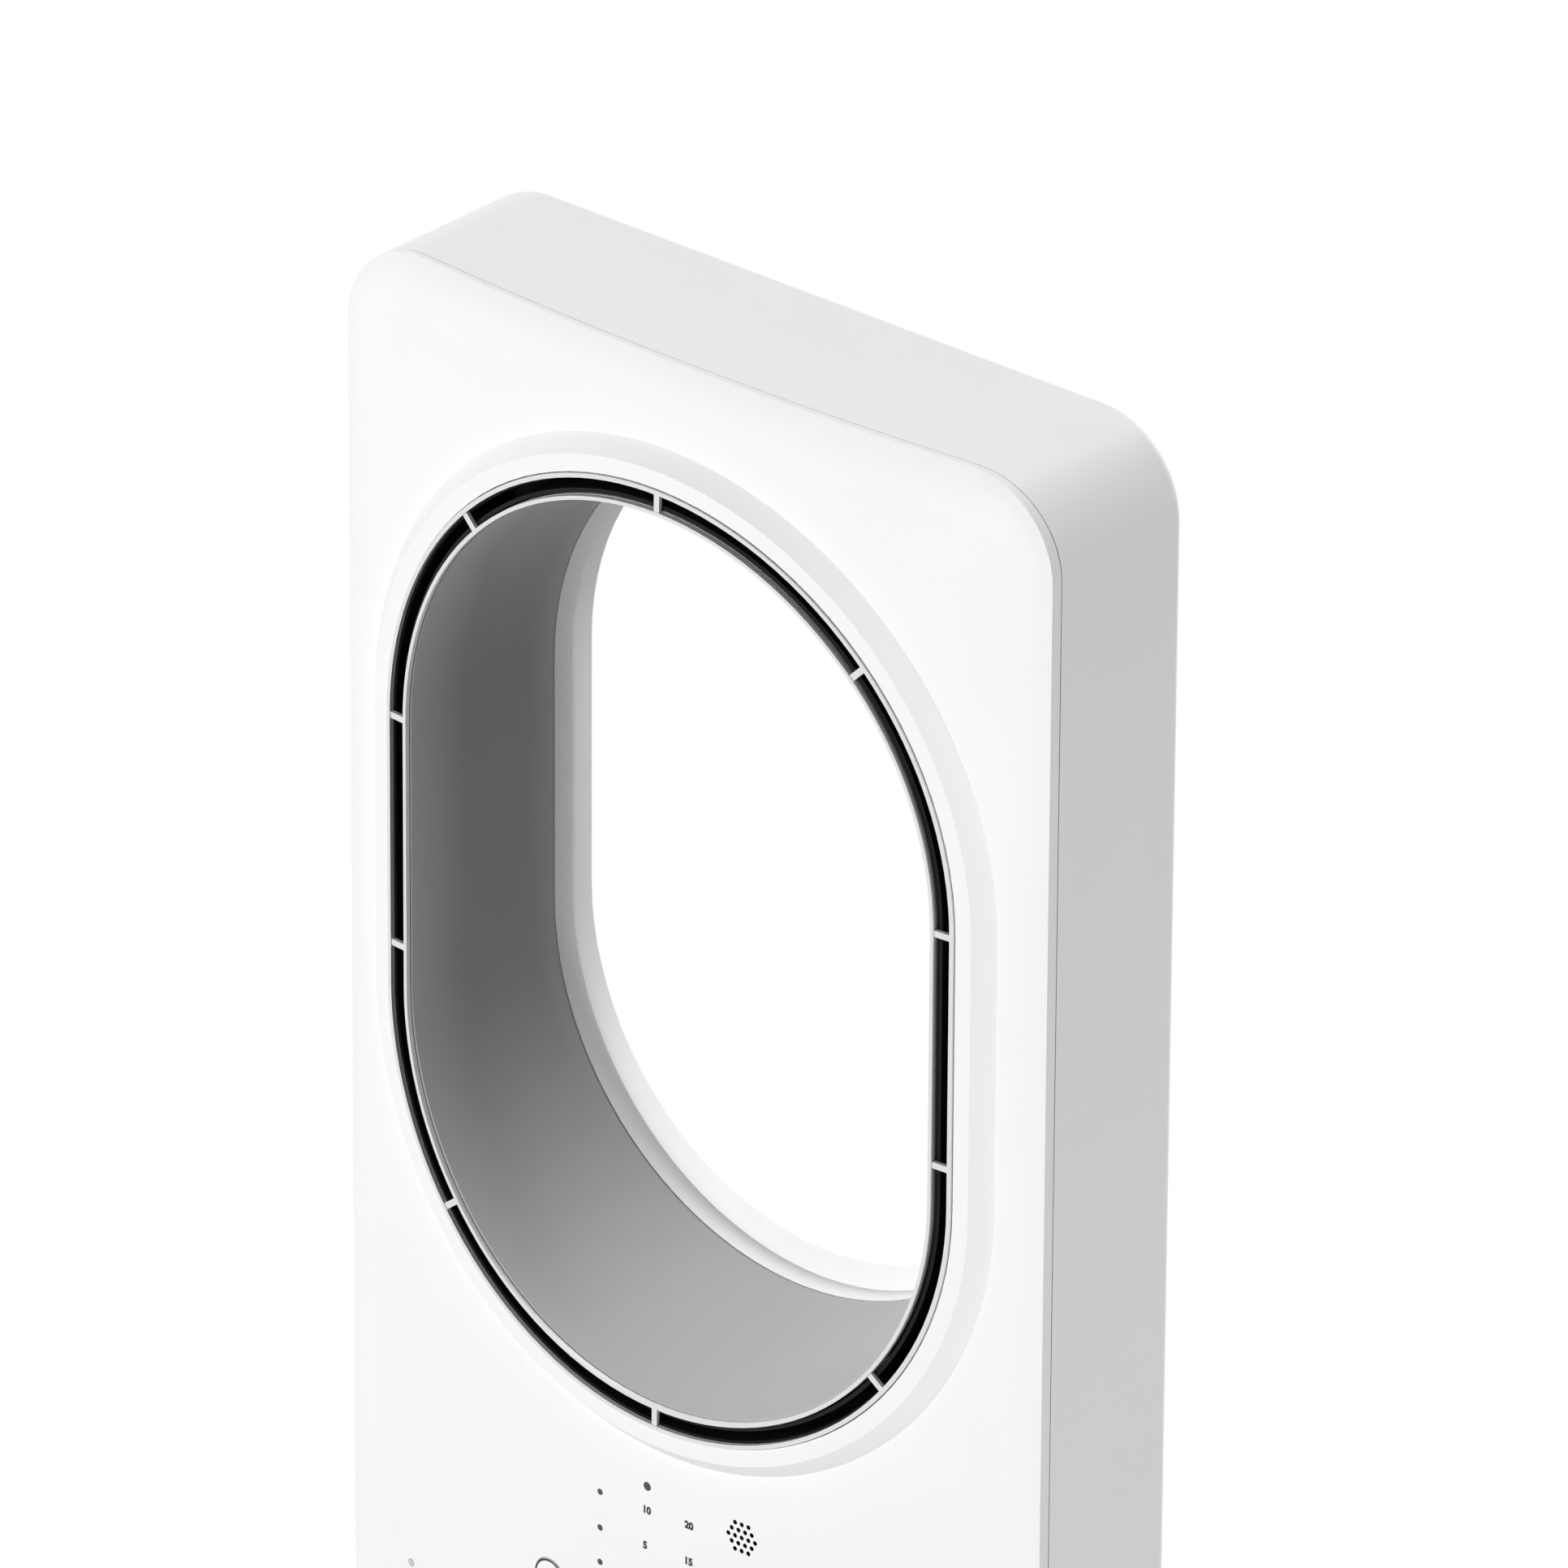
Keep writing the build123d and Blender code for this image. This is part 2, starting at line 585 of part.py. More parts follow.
def bore_liner():
    """Grey inner wall of the opening, with a flange that presses on the rear gasket."""
    flange = oblong(REAR_HALF + LINER_WALL + LINER_FLANGE_W, REAR_STRAIGHT, REAR_Z)
    wall = liner_solid(LINER_WALL) + prism(flange, LINER_END_Y - LINER_FLANGE_T, LINER_END_Y)
    wall &= crown(RIM_AHEAD - RIM_T - SEAT)
    return wall - liner_solid(0)


def liner_gasket():
    """Thin seal between the liner and the collar of the rear housing."""
    ring = oblong(REAR_HALF + COLLAR_WALL - SEAT, REAR_STRAIGHT, REAR_Z)
    ring -= oblong(REAR_HALF + SEAT, REAR_STRAIGHT, REAR_Z)
    return prism(ring, LINER_END_Y + PRESS, REAR_COLLAR_Y - PRESS)


def plenum_wall():
    """Stepped wall that keeps the air in the upper body and leaves a pocket for the controls."""
    half = INNER_HALF_W - TONGUE_T - 2 * SEAT
    back = BACK_INNER_Y - SEAT
    shelf = Pos(0, (PLENUM_WALL_Y + back) / 2, SHELF_Z + PLENUM_T / 2)
    wall = shelf * Box(2 * half, back - PLENUM_WALL_Y, PLENUM_T)
    riser_h = POCKET_Z - SHELF_Z
    riser = Pos(0, PLENUM_WALL_Y + PLENUM_T / 2, SHELF_Z + riser_h / 2)
    wall += riser * Box(2 * half, PLENUM_T, riser_h)
    roof = prism(at(0, POCKET_Z - PLENUM_T / 2, Rectangle(2 * half, PLENUM_T)), PAST_FRONT, PLENUM_WALL_Y + CUT)
    wall += roof & tray_block(PANEL_WALL + SEAT, PANEL_INNER_AHEAD - SEAT)
    mouth = outlet_channel(0)
    return wall - mouth


def outlet_channel(grow):
    """Air passage up from the scroll's mouth, larger by this much all round."""
    left = OUTLET_INNER_X - grow
    right = scroll_right_x() + grow
    front = CASE_FRONT_Y + CASE_WALL - grow
    back = COVER_Y + grow
    height = 4 * GASKET_T + PLENUM_T
    place = Pos((left + right) / 2, (front + back) / 2, OUTLET_Z + height / 2 - GASKET_T)
    return place * Box(right - left, back - front, height)


def duct_gasket():
    """Soft seal between the scroll's mouth and the plenum wall."""
    ring = outlet_channel(CASE_WALL) - outlet_channel(0)
    band = Pos(0, 0, OUTLET_Z + SEAT + GASKET_T / 2) * Box(2 * BODY_W, 2 * BODY_W, GASKET_T)
    return ring & band


# ---- controls ----
def standoff_places():
    """Posts behind the front panel that carry the control board."""
    low = KEY_Z - BOARD_BELOW_KEYS + STANDOFF_IN
    high = KEY_Z + BOARD_ABOVE_KEYS - STANDOFF_IN
    side = BOARD_HALF_W - STANDOFF_IN
    return [(x, z) for x in (-side, side) for z in (low, high)]


def sensor_post_xs():
    """Posts on either side of the sensor window."""
    side = SENSOR_BOARD_W / 2 - STANDOFF_R
    return SENSOR_X - side, SENSOR_X + side


def control_board():
    """Circuit board behind the keys."""
    height = BOARD_BELOW_KEYS + BOARD_ABOVE_KEYS
    centre_z = KEY_Z + (BOARD_ABOVE_KEYS - BOARD_BELOW_KEYS) / 2
    board = at(0, centre_z, Rectangle(2 * BOARD_HALF_W, height))
    return prism(board, BOARD_Y, BOARD_Y + BOARD_T)


def tact_switches():
    """One click switch behind each key."""
    switches = []
    for x in KEY_XS:
        body = prism(at(x, KEY_Z, Rectangle(TACT_SIDE, TACT_SIDE)), BOARD_Y - TACT_H, BOARD_Y)
        switches.append(body + prism(at(x, KEY_Z, Circle(TACT_TIP_R)), TACT_TIP_Y, BOARD_Y - TACT_H))
    return Compound(children=switches)


def key(x):
    """Round push button with the flange that keeps it behind the panel."""
    cap = prism(at(x, KEY_Z, Circle(KEY_R)), PAST_FRONT, KEY_FLANGE_Y) & crown(FACE_AHEAD + KEY_PROUD)
    flange = prism(at(x, KEY_Z, Circle(KEY_FLANGE_R)), PAST_FRONT, KEY_FLANGE_Y)
    stem_end = TACT_TIP_Y - KEY_TRAVEL - SEAT
    stem = prism(at(x, KEY_Z, Circle(KEY_STEM_R)), KEY_FLANGE_Y - JOIN, stem_end)
    return cap + (flange & crown(PANEL_INNER_AHEAD - SEAT)) + stem


def light_guides():
    """Three clear rods on one bar, and the eye of the remote control beside them."""
    rods = [prism(at(GUIDE_X, COLLAR_BOTTOM - below, Circle(GUIDE_R)), PAST_FRONT, BOARD_Y - SEAT)
            & crown(FACE_AHEAD) for below in GUIDE_BELOW]
    middle = (GUIDE_BELOW[0] + GUIDE_BELOW[-1]) / 2
    length = GUIDE_BELOW[-1] - GUIDE_BELOW[0] + GUIDE_BAR_W
    bar = at(GUIDE_X, COLLAR_BOTTOM - middle, Rectangle(GUIDE_BAR_W, length))
    strip = prism(bar, GUIDE_BAR_Y, GUIDE_BAR_Y + GUIDE_BAR_T)
    for rod in rods:
        strip += rod
    eye = prism(at(EYE_X, COLLAR_BOTTOM - EYE_BELOW, Circle(EYE_R)), PAST_FRONT, BOARD_Y - SEAT)
    return Compound(children=[strip, eye & crown(FACE_AHEAD)])


def buzzer():
    """Round sounder on the control board."""
    return prism(at(BUZZER_X, COLLAR_BOTTOM - BUZZER_BELOW, Circle(BUZZER_R)), BOARD_Y - BUZZER_H, BOARD_Y)


def sensor_board():
    """Small circuit board behind the sensor window."""
    return prism(at(SENSOR_X, SENSOR_Z, Rectangle(SENSOR_BOARD_W, SENSOR_BOARD_H)), BOARD_Y, BOARD_Y + BOARD_T)


def sensor_window():
    """Clear plug in the face in front of the sensor board."""
    return prism(at(SENSOR_X, SENSOR_Z, Circle(SENSOR_R)), PAST_FRONT, BOARD_Y - SEAT) & crown(FACE_AHEAD)


# ---- blower ----
def scroll_centres():
    """Centres and radii of the four arcs, from the tongue round to the outlet."""
    half = SCROLL_STEP / 2
    centres = ((-half, half), (-half, -half), (half, -half), (half, half))
    radii = [SCROLL_R + SCROLL_STEP * turn for turn in (-2, -1, 0, 1)]
    return [(x, BLOWER_Z + z, radius) for (x, z), radius in zip(centres, radii)]


def scroll_right_x():
    """Outer side of the outlet channel."""
    x, _, radius = scroll_centres()[3]
    return x + radius


def scroll_outline():
    """Inside of the scroll, running on past its mouth."""
    first, second, third, fourth = scroll_centres()
    past = OUTLET_Z + 10 * CUT
    start = acos((OUTLET_INNER_X - first[0]) / first[2])
    tongue_z = first[1] + first[2] * sin(start)
    arcs = [
        CenterArc((first[0], first[1]), first[2], start * 180 / pi, 90 - start * 180 / pi),
        CenterArc((second[0], second[1]), second[2], 90, 90),
        CenterArc((third[0], third[1]), third[2], 180, 90),
        CenterArc((fourth[0], fourth[1]), fourth[2], 270, 90)]
    lines = [
        Line((fourth[0] + fourth[2], fourth[1]), (fourth[0] + fourth[2], past)),
        Line((fourth[0] + fourth[2], past), (OUTLET_INNER_X, past)),
        Line((OUTLET_INNER_X, past), (OUTLET_INNER_X, tongue_z))]
    return make_face(Wire(arcs + lines))


def scroll_outer():
    """Outside of the scroll, cut level at its mouth."""
    grown = offset(scroll_outline(), CASE_WALL)
    keep = Rectangle(4 * BODY_W, OUTLET_Z, align=(Align.CENTER, Align.MIN))
    return grown & keep


def lug_tabs():
    """Tabs beside the scroll that sit on the posts of the rear housing."""
    tabs = None
    for x, z in LUG_PLACES:
        reach = abs(x) / 2
        tab = at(x, BLOWER_Z + z, Circle(LUG_R))
        inward = -1 if x > 0 else 1
        tab += at(x + inward * reach / 2, BLOWER_Z + z, Rectangle(reach, 2 * LUG_R))
        tabs = tab if tabs is None else tabs + tab
    holes = [at(x, BLOWER_Z + z, Circle(POST_PIN_R + SCREW_FIT)) for x, z in LUG_PLACES]
    tabs -= scroll_outline()
    for hole in holes:
        tabs -= hole
    return tabs


def blower_case():
    """Scroll round the impeller, open at the back, with the motor's window in its front wall."""
    case = prism(scroll_outer(), CASE_FRONT_Y, COVER_Y - SEAT)
    case -= prism(scroll_outline(), CASE_FRONT_Y + CASE_WALL, COVER_Y)
    case += prism(lug_tabs(), COVER_Y - SEAT - LUG_T, COVER_Y - SEAT)
    case -= prism(at(0, BLOWER_Z, Circle(MOTOR_WINDOW_R)), CASE_FRONT_Y - CUT, CASE_FRONT_Y + 2 * CASE_WALL)
    for x, z in grommet_places():
        hole = at(x, z, Circle(SCREW_R + SCREW_FIT))
        case -= prism(hole, CASE_FRONT_Y - CUT, CASE_FRONT_Y + 2 * CASE_WALL)
    return case


def blower_cover():
    """Back of the scroll, with a bellmouth for the air coming in."""
    cover = prism(scroll_outer(), COVER_Y, COVER_Y + COVER_T)
    cover += on_axle(disc(BELL_R + BELL_WALL, COVER_Y - BELL_LIP, COVER_Y + COVER_T / 2))
    cover -= on_axle(disc(BELL_R, COVER_Y - BELL_LIP - CUT, COVER_Y + COVER_T + CUT))
    mouth = cover.edges().filter_by(GeomType.CIRCLE).sort_by(Axis.Y)[-1]
    return fillet(mouth, BELL_ROUND)


def on_axle(shape):
    """Place a shape drawn along Z on the blower's axle, its Z running to the back."""
    return Plane(origin=(0, 0, BLOWER_Z), x_dir=(1, 0, 0), z_dir=(0, 1, 0)) * shape


def grommet_places():
    """Three fixings of the motor bracket, as front-view places."""
    angles = [radians(90 + 120 * turn) for turn in range(3)]
    return [(GROMMET_AT * cos(a), BLOWER_Z + GROMMET_AT * sin(a)) for a in angles]


def bearing_ends():
    """Front ends of the two bearings along the axle."""
    return STATOR_START, STATOR_END - BEARING_W


def motor_bracket():
    """Pressed plate in front of the scroll, with the tube that carries stator and bearings."""
    back = CASE_FRONT_Y - GROMMET_T - 2 * PRESS
    plate = disc(BRACKET_R, back - BRACKET_T, back)
    tube = disc(BEARING_TUBE_R, back - JOIN, STATOR_END, BEARING_R + PRESS)
    cup = plate + tube
    for x, z in grommet_places():
        cup -= Pos(x, -(z - BLOWER_Z), 0) * disc(SCREW_R + SCREW_FIT, back - BRACKET_T - CUT, back + CUT)
    return on_axle(cup)


def motor_grommets():
    """Rubber washers between the bracket and the scroll."""
    rings = []
    for x, z in grommet_places():
        ring = at(x, z, Circle(GROMMET_R)) - at(x, z, Circle(SCREW_R + SCREW_FIT))
        rings.append(prism(ring, CASE_FRONT_Y - GROMMET_T - PRESS, CASE_FRONT_Y - PRESS))
    return Compound(children=rings)


def motor_bearings():
    """Two bearings in the bracket's tube."""
    bore = AXLE_R + RUNNING_FIT
    rings = [disc(BEARING_R, start, start + BEARING_W, bore) for start in bearing_ends()]
    return on_axle(Compound(children=rings))


def motor_board():
    """Ring-shaped drive board of the fan motor."""
    return on_axle(disc(MOTOR_BOARD_R, MOTOR_BOARD_Y, MOTOR_BOARD_Y + BOARD_T, BEARING_TUBE_R + SEAT))


def motor_stator():
    """Wound core of the fan motor: a ring with T-shaped poles."""
    core = Circle(STATOR_CORE_R)
    half_shoe = radians(360 / STATOR_POLES * POLE_SHOE_SHARE / 2)
    far = 2 * STATOR_R
    shoe = Circle(STATOR_R) - Circle(STATOR_R - POLE_SHOE_T)
    wedge = Polygon((0, 0), (far, -far * tan(half_shoe)), (far, far * tan(half_shoe)), align=None)
    neck = at(STATOR_R / 2, 0, Rectangle(STATOR_R - POLE_SHOE_T / 2, POLE_NECK_W))
    pole = (shoe & wedge) + neck
    for turn in range(STATOR_POLES):
        core += Rot(0, 0, 360 / STATOR_POLES * turn) * pole
    core -= Circle(BEARING_TUBE_R + 2 * PRESS)
    return on_axle(extrude(Plane.XY.offset(STATOR_START) * core, STATOR_END - STATOR_START))


def cup_inner_r():
    """Inside of the rotor's steel cup."""
    return STATOR_R + AIR_GAP + MAGNET_T + PRESS


def hub_inner_r():
    """Inside of the impeller's hub, just round the rotor's cup."""
    return cup_inner_r() + CUP_WALL + 2 * PRESS


def rotor_magnet():
    """Ring magnet inside the rotor's cup."""
    inner = STATOR_R + AIR_GAP
    return on_axle(disc(inner + MAGNET_T, CUP_START, STATOR_END + CUT, inner))


def motor_rotor():
    """Steel cup over the stator, closed at the back round the shaft."""
    wall = disc(cup_inner_r() + CUP_WALL, CUP_START, CUP_END, cup_inner_r())
    end = disc(cup_inner_r() + CUP_WALL, CUP_END - CUP_WALL, CUP_END, AXLE_R + PRESS)
    boss = disc(ROTOR_BOSS_R, STATOR_END + CUT, CUP_END, AXLE_R + PRESS)
    return on_axle(wall + end + boss)


def motor_shaft():
    """Shaft through both bearings and the rotor."""
    front = bearing_ends()[0] - CUT
    return on_axle(disc(AXLE_R, front, CUP_END + PLATE_T + NUT_T + CUT))


def blade():
    """Backward-curved blade in plan, from the hub's eye to the rim."""
    inner_r = hub_inner_r() + HUB_WALL + BLADE_START
    outer_r = IMPELLER_R - BLADE_T
    start = (inner_r, 0)
    end_angle = radians(-BLADE_SWEEP)
    end = (outer_r * cos(end_angle), outer_r * sin(end_angle))
    middle_angle = end_angle * BLADE_LEAN
    middle_r = (inner_r + outer_r) / 2
    middle = (middle_r * cos(middle_angle), middle_r * sin(middle_angle))
    return trace(ThreePointArc(start, middle, end), BLADE_T)


def impeller():
    """Closed hub over the motor, back plate, curved blades and the ring at the air inlet."""
    hub_r = hub_inner_r() + HUB_WALL
    hub = disc(hub_r, IMPELLER_START, CUP_END + 2 * PRESS + PLATE_T, AXLE_R + PRESS)
    hub -= disc(hub_inner_r(), IMPELLER_START - CUT, CUP_END + 2 * PRESS)
    wheel = hub + disc(IMPELLER_R, IMPELLER_START, IMPELLER_START + PLATE_T, hub_inner_r())
    wheel += disc(IMPELLER_R, IMPELLER_END - PLATE_T, IMPELLER_END, EYE_IN_R)
    height = IMPELLER_END - IMPELLER_START - PLATE_T
    one = extrude(Plane.XY.offset(IMPELLER_START + PLATE_T / 2) * blade(), height)
    for turn in range(BLADE_COUNT):
        wheel += Rot(0, 0, 360 / BLADE_COUNT * turn) * one
    return on_axle(wheel)


def impeller_nut():
    """Nut that holds the impeller on the shaft."""
    start = CUP_END + PLATE_T + 4 * PRESS
    hexagon = RegularPolygon(NUT_R, 6) - Circle(AXLE_R + PRESS)
    return on_axle(extrude(Plane.XY.offset(start) * hexagon, NUT_T))


# ---- intake ----
def intake_filter():
    """Filter pad in its frame, with its corners cut for the blocks."""
    pad = window_outline(FRAME_IN - SEAT)
    for x, z in window_corners(GRILLE_SCREW_IN - FRAME_IN):
        pad -= at(x, z, Rectangle(CORNER_BLOCK + 2 * SEAT, CORNER_BLOCK + 2 * SEAT))
    return prism(pad, BACK_INNER_Y - SEAT - FILTER_T, BACK_INNER_Y - SEAT)


def intake_grille():
    """Slotted cover flush with the back."""
    plate = window_outline(-SEAT)
    first = BLOWER_Z - GRILLE_PITCH * (GRILLE_ROWS - 1) / 2
    for row in range(GRILLE_ROWS):
        edge_row = row in (0, GRILLE_ROWS - 1)
        width = GRILLE_SLOT_W - (GRILLE_PITCH if edge_row else 0)
        for side in (-1, 1):
            x = side * (width / 2 + GRILLE_SLOT / 2)
            plate -= at(x, first + GRILLE_PITCH * row, Rectangle(width, GRILLE_SLOT))
    for x, z in window_corners(GRILLE_SCREW_IN):
        plate -= at(x, z, Circle(SCREW_R + SCREW_FIT))
    return prism(plate, BACK_INNER_Y, BACK_Y)


def main_board_posts():
    """Posts of the front panel at the corners of the main board."""
    side = MAIN_BOARD_W / 2 - STANDOFF_IN
    rise = MAIN_BOARD_H / 2 - STANDOFF_IN
    return [(x, MAIN_BOARD_Z + z) for x in (-side, side) for z in (-rise, rise)]


def main_board():
    """Power board in front of the scroll with its capacitors and coil."""
    board = prism(at(0, MAIN_BOARD_Z, Rectangle(MAIN_BOARD_W, MAIN_BOARD_H)), BOARD_Y, BOARD_Y + BOARD_T)
    for x in CAPACITOR_XS:
        board += prism(at(x, MAIN_BOARD_Z, Circle(CAPACITOR_R)), BOARD_Y - CAPACITOR_H, BOARD_Y)
    return board + prism(at(COIL_X, MAIN_BOARD_Z, Rectangle(COIL_W, COIL_W)), BOARD_Y - COIL_H, BOARD_Y)


# ---- turntable and stand ----
def turntable():
    """Disc and neck under the body, with the hub that turns in the stand."""
    plate = disc(TURN_R, TURN_Z, TURN_TOP_Z)
    neck = RectangleRounded(NECK_W, NECK_D, NECK_CORNER) & Circle(TURN_R)
    pad = extrude(Plane.XY.offset(TURN_TOP_Z - JOIN) * neck, STAND_H - SEAT - TURN_TOP_Z + JOIN)
    hub = disc(HUB_R, GEAR_Z + GEAR_T + SEAT, TURN_Z + JOIN)
    table = plate + pad + hub - disc(HUB_BORE_R, 0, STAND_H)
    for x, y in pad_screw_places():
        table -= Pos(x, y, 0) * disc(SCREW_R + SCREW_FIT, 0, STAND_H)
    return table


def pad_screw_places():
    """Four screws from inside the body down into the neck."""
    return [(x, y) for x in (-PAD_SCREW_X, PAD_SCREW_X) for y in (-PAD_SCREW_Y, PAD_SCREW_Y)]


def spindle_bush():
    """Flanged bearing between the stand and the hub."""
    bush = disc(BUSH_R, SLEEVE_Z, RECESS_Z + BUSH_FLANGE_T, HUB_R + RUNNING_FIT)
    return bush + disc(BUSH_FLANGE_R, RECESS_Z, RECESS_Z + BUSH_FLANGE_T, HUB_R + RUNNING_FIT)


def stand_profile():
    """Half section of the stand's cover, filled, with a sharp shoulder."""
    return Polygon(
        (0, STAND_FOOT_Z), (STAND_R, STAND_FOOT_Z), (STAND_R, SHOULDER_Z),
        (RECESS_R + RIM_FLAT, STAND_TOP_Z), (RECESS_R, STAND_TOP_Z), (RECESS_R, RECESS_Z),
        (0, RECESS_Z), align=None)


def outermost_top(profile):
    """The shoulder of a half section: of its outermost corners, the upper one."""
    return profile.vertices().group_by(Axis.X)[-1].sort_by(Axis.Y)[-1]


def stand_cover():
    """Domed cover of the stand, with the recess for the turntable."""
    sharp = stand_profile()
    inner = offset(sharp, -STAND_WALL, kind=Kind.INTERSECTION)
    inner = chamfer(outermost_top(inner), SHOULDER_INNER)
    room = Rectangle(STAND_R - STAND_WALL, STAND_WALL + CUT, align=(Align.MIN, Align.MIN))
    inner += Pos(0, STAND_FOOT_Z - CUT) * room
    dome = revolve(Plane.XZ * fillet(outermost_top(sharp), SHOULDER_ROUND), Axis.Z)
    shell = dome - revolve(Plane.XZ * inner, Axis.Z)
    shell += disc(BUSH_R + SEAT / 3 + SLEEVE_WALL, SLEEVE_Z, RECESS_Z - CUT)
    for x in (-MOTOR_EAR_AT, MOTOR_EAR_AT):
        post = disc(MOTOR_EAR_R, MOTOR_FACE_Z + MOTOR_EAR_T + SEAT, RECESS_Z - CUT)
        shell += Pos(x, MOTOR_Y, 0) * post
    for x, y in base_post_places():
        post = disc(SCREW_R + SCREW_FIT + BOSS_WALL, BOTTOM_Z + BOTTOM_T + SEAT, STAND_TOP_Z)
        post -= disc(SCREW_R + SCREW_FIT, 0, BOTTOM_Z + BOTTOM_T + SCREW_GRIP)
        shell += (Pos(x, y, 0) * post) & dome
    shell -= disc(BUSH_R + SEAT / 3, 0, STAND_TOP_Z)
    inlet = Plane(origin=(0, STAND_R + CUT, INLET_Z), z_dir=(0, -1, 0)) * Circle(INLET_R + SEAT)
    return shell - extrude(inlet, 2 * STAND_WALL)


def base_post_places():
    """Posts that take the screws of the base plate."""
    angles = [radians(22.5 + 90 * turn) for turn in range(4)]
    return [(BASE_POST_AT * cos(a), BASE_POST_AT * sin(a)) for a in angles]


def foot_places():
    """Four rubber feet under the base plate."""
    angles = [radians(45 + 90 * turn) for turn in range(4)]
    return [(FOOT_AT * cos(a), FOOT_AT * sin(a)) for a in angles]


def base_plate():
    """Closing plate under the stand."""
    plate = disc(STAND_R - STAND_WALL - SEAT, BOTTOM_Z, BOTTOM_Z + BOTTOM_T)
    for x, y in foot_places():
        plate -= Pos(x, y, 0) * disc(FOOT_R + SCREW_FIT, BOTTOM_Z - CUT, BOTTOM_Z + FOOT_SINK)
    for x, y in base_post_places():
        plate -= Pos(x, y, 0) * disc(SCREW_R + SCREW_FIT, 0, BOTTOM_Z + BOTTOM_T + CUT)
    return plate


def rubber_feet():
    """Feet let into the base plate."""
    return Compound(children=[Pos(x, y, 0) * disc(FOOT_R, 0, BOTTOM_Z + FOOT_SINK - PRESS)
                              for x, y in foot_places()])


def ballast_ring():
    """Steel ring that keeps the fan from tipping, open at the power inlet."""
    bottom = BOTTOM_Z + BOTTOM_T + SEAT
    ring = disc(BALLAST_OUT_R, bottom, bottom + BALLAST_T, BALLAST_IN_R)
    gap_w = INLET_BOX_W + 2 * INLET_ROOM
    notch = Pos(0, (BALLAST_IN_R + BALLAST_OUT_R) / 2, bottom + BALLAST_T / 2)
    return ring - notch * Box(gap_w, 2 * (BALLAST_OUT_R - BALLAST_IN_R), 2 * BALLAST_T)


def tooth_half_angle(radius, teeth):
    """Half the angle one tooth takes at a radius, from the involute of its base circle."""
    base_r = GEAR_MODULE * teeth / 2 * cos(GEAR_PRESSURE)
    slope = acos(min(1.0, base_r / radius))
    pitch_half = (pi / 2 - GEAR_BACKLASH / GEAR_MODULE) / teeth
    return pitch_half + (tan(GEAR_PRESSURE) - GEAR_PRESSURE) - (tan(slope) - slope)


def tooth_points(teeth, centre_angle):
    """Outline of one tooth about the gear's centre, root to tip and back."""
    pitch_r = GEAR_MODULE * teeth / 2
    radii = (pitch_r - DEDENDUM * GEAR_MODULE, pitch_r, pitch_r + ADDENDUM * GEAR_MODULE)
    rising = [(r, centre_angle - tooth_half_angle(r, teeth)) for r in radii]
    falling = [(r, centre_angle + tooth_half_angle(r, teeth)) for r in reversed(radii)]
    return [(r * cos(a), r * sin(a)) for r, a in rising + falling]


def swing_gear():
    """Toothed sector on the hub, meshing with the pinion of the swing motor."""
    pitch = 2 * pi / GEAR_TEETH
    points = [(0, 0)]
    for step in range(SECTOR_TEETH):
        points += tooth_points(GEAR_TEETH, pi / 2 + (step - (SECTOR_TEETH - 1) / 2) * pitch)
    outline = Polygon(*points, align=None) + Circle(GEAR_HUB_R)
    outline -= Circle(HUB_BORE_R)
    gear = extrude(Plane.XY.offset(GEAR_Z) * outline, GEAR_T)
    for x, y in gear_screw_places():
        gear -= Pos(x, y, 0) * disc(SCREW_R + SCREW_FIT, 0, GEAR_Z + GEAR_T + CUT)
        gear -= Pos(x, y, 0) * disc(SCREW_HEAD_R + SCREW_FIT, 0, GEAR_Z + SCREW_HEAD_T + SEAT)
    return gear


def gear_screw_places():
    """Screws from the gear up into the hub."""
    angles = [radians(-90 + 360 / GEAR_SCREWS * turn) for turn in range(GEAR_SCREWS)]
    return [(GEAR_SCREW_AT * cos(a), GEAR_SCREW_AT * sin(a)) for a in angles]


def swing_pinion():
    """Pinion and shaft of the swing motor, in mesh with the sector at rest."""
    points = []
    for tooth in range(PINION_TEETH):
        points += tooth_points(PINION_TEETH, -pi / 2 + (tooth + 0.5) * 2 * pi / PINION_TEETH)
    wheel = extrude(Plane.XY.offset(GEAR_Z) * Polygon(*points, align=None), GEAR_T)
    shaft = disc(PINION_SHAFT_R, GEAR_Z, MOTOR_FACE_Z + PINION_SHAFT_REACH)
    return Pos(0, PINION_AT_Y, 0) * (wheel + shaft)


def swing_motor():
    """Geared motor hung under the stand's cover, its shaft off centre."""
    top = RECESS_Z - STAND_WALL - SEAT
    can = Pos(0, MOTOR_Y, 0) * disc(MOTOR_CAN_R, MOTOR_FACE_Z, top)
    ear = SlotCenterToCenter(2 * MOTOR_EAR_AT, 2 * MOTOR_EAR_R)
    ears = extrude(Plane.XY.offset(MOTOR_FACE_Z) * Pos(0, MOTOR_Y) * ear, MOTOR_EAR_T)
    socket = Pos(0, PINION_AT_Y, 0) * disc(PINION_SHAFT_R + RUNNING_FIT, 0, MOTOR_FACE_Z + PINION_SHAFT_REACH + CUT)
    return can + ears - socket


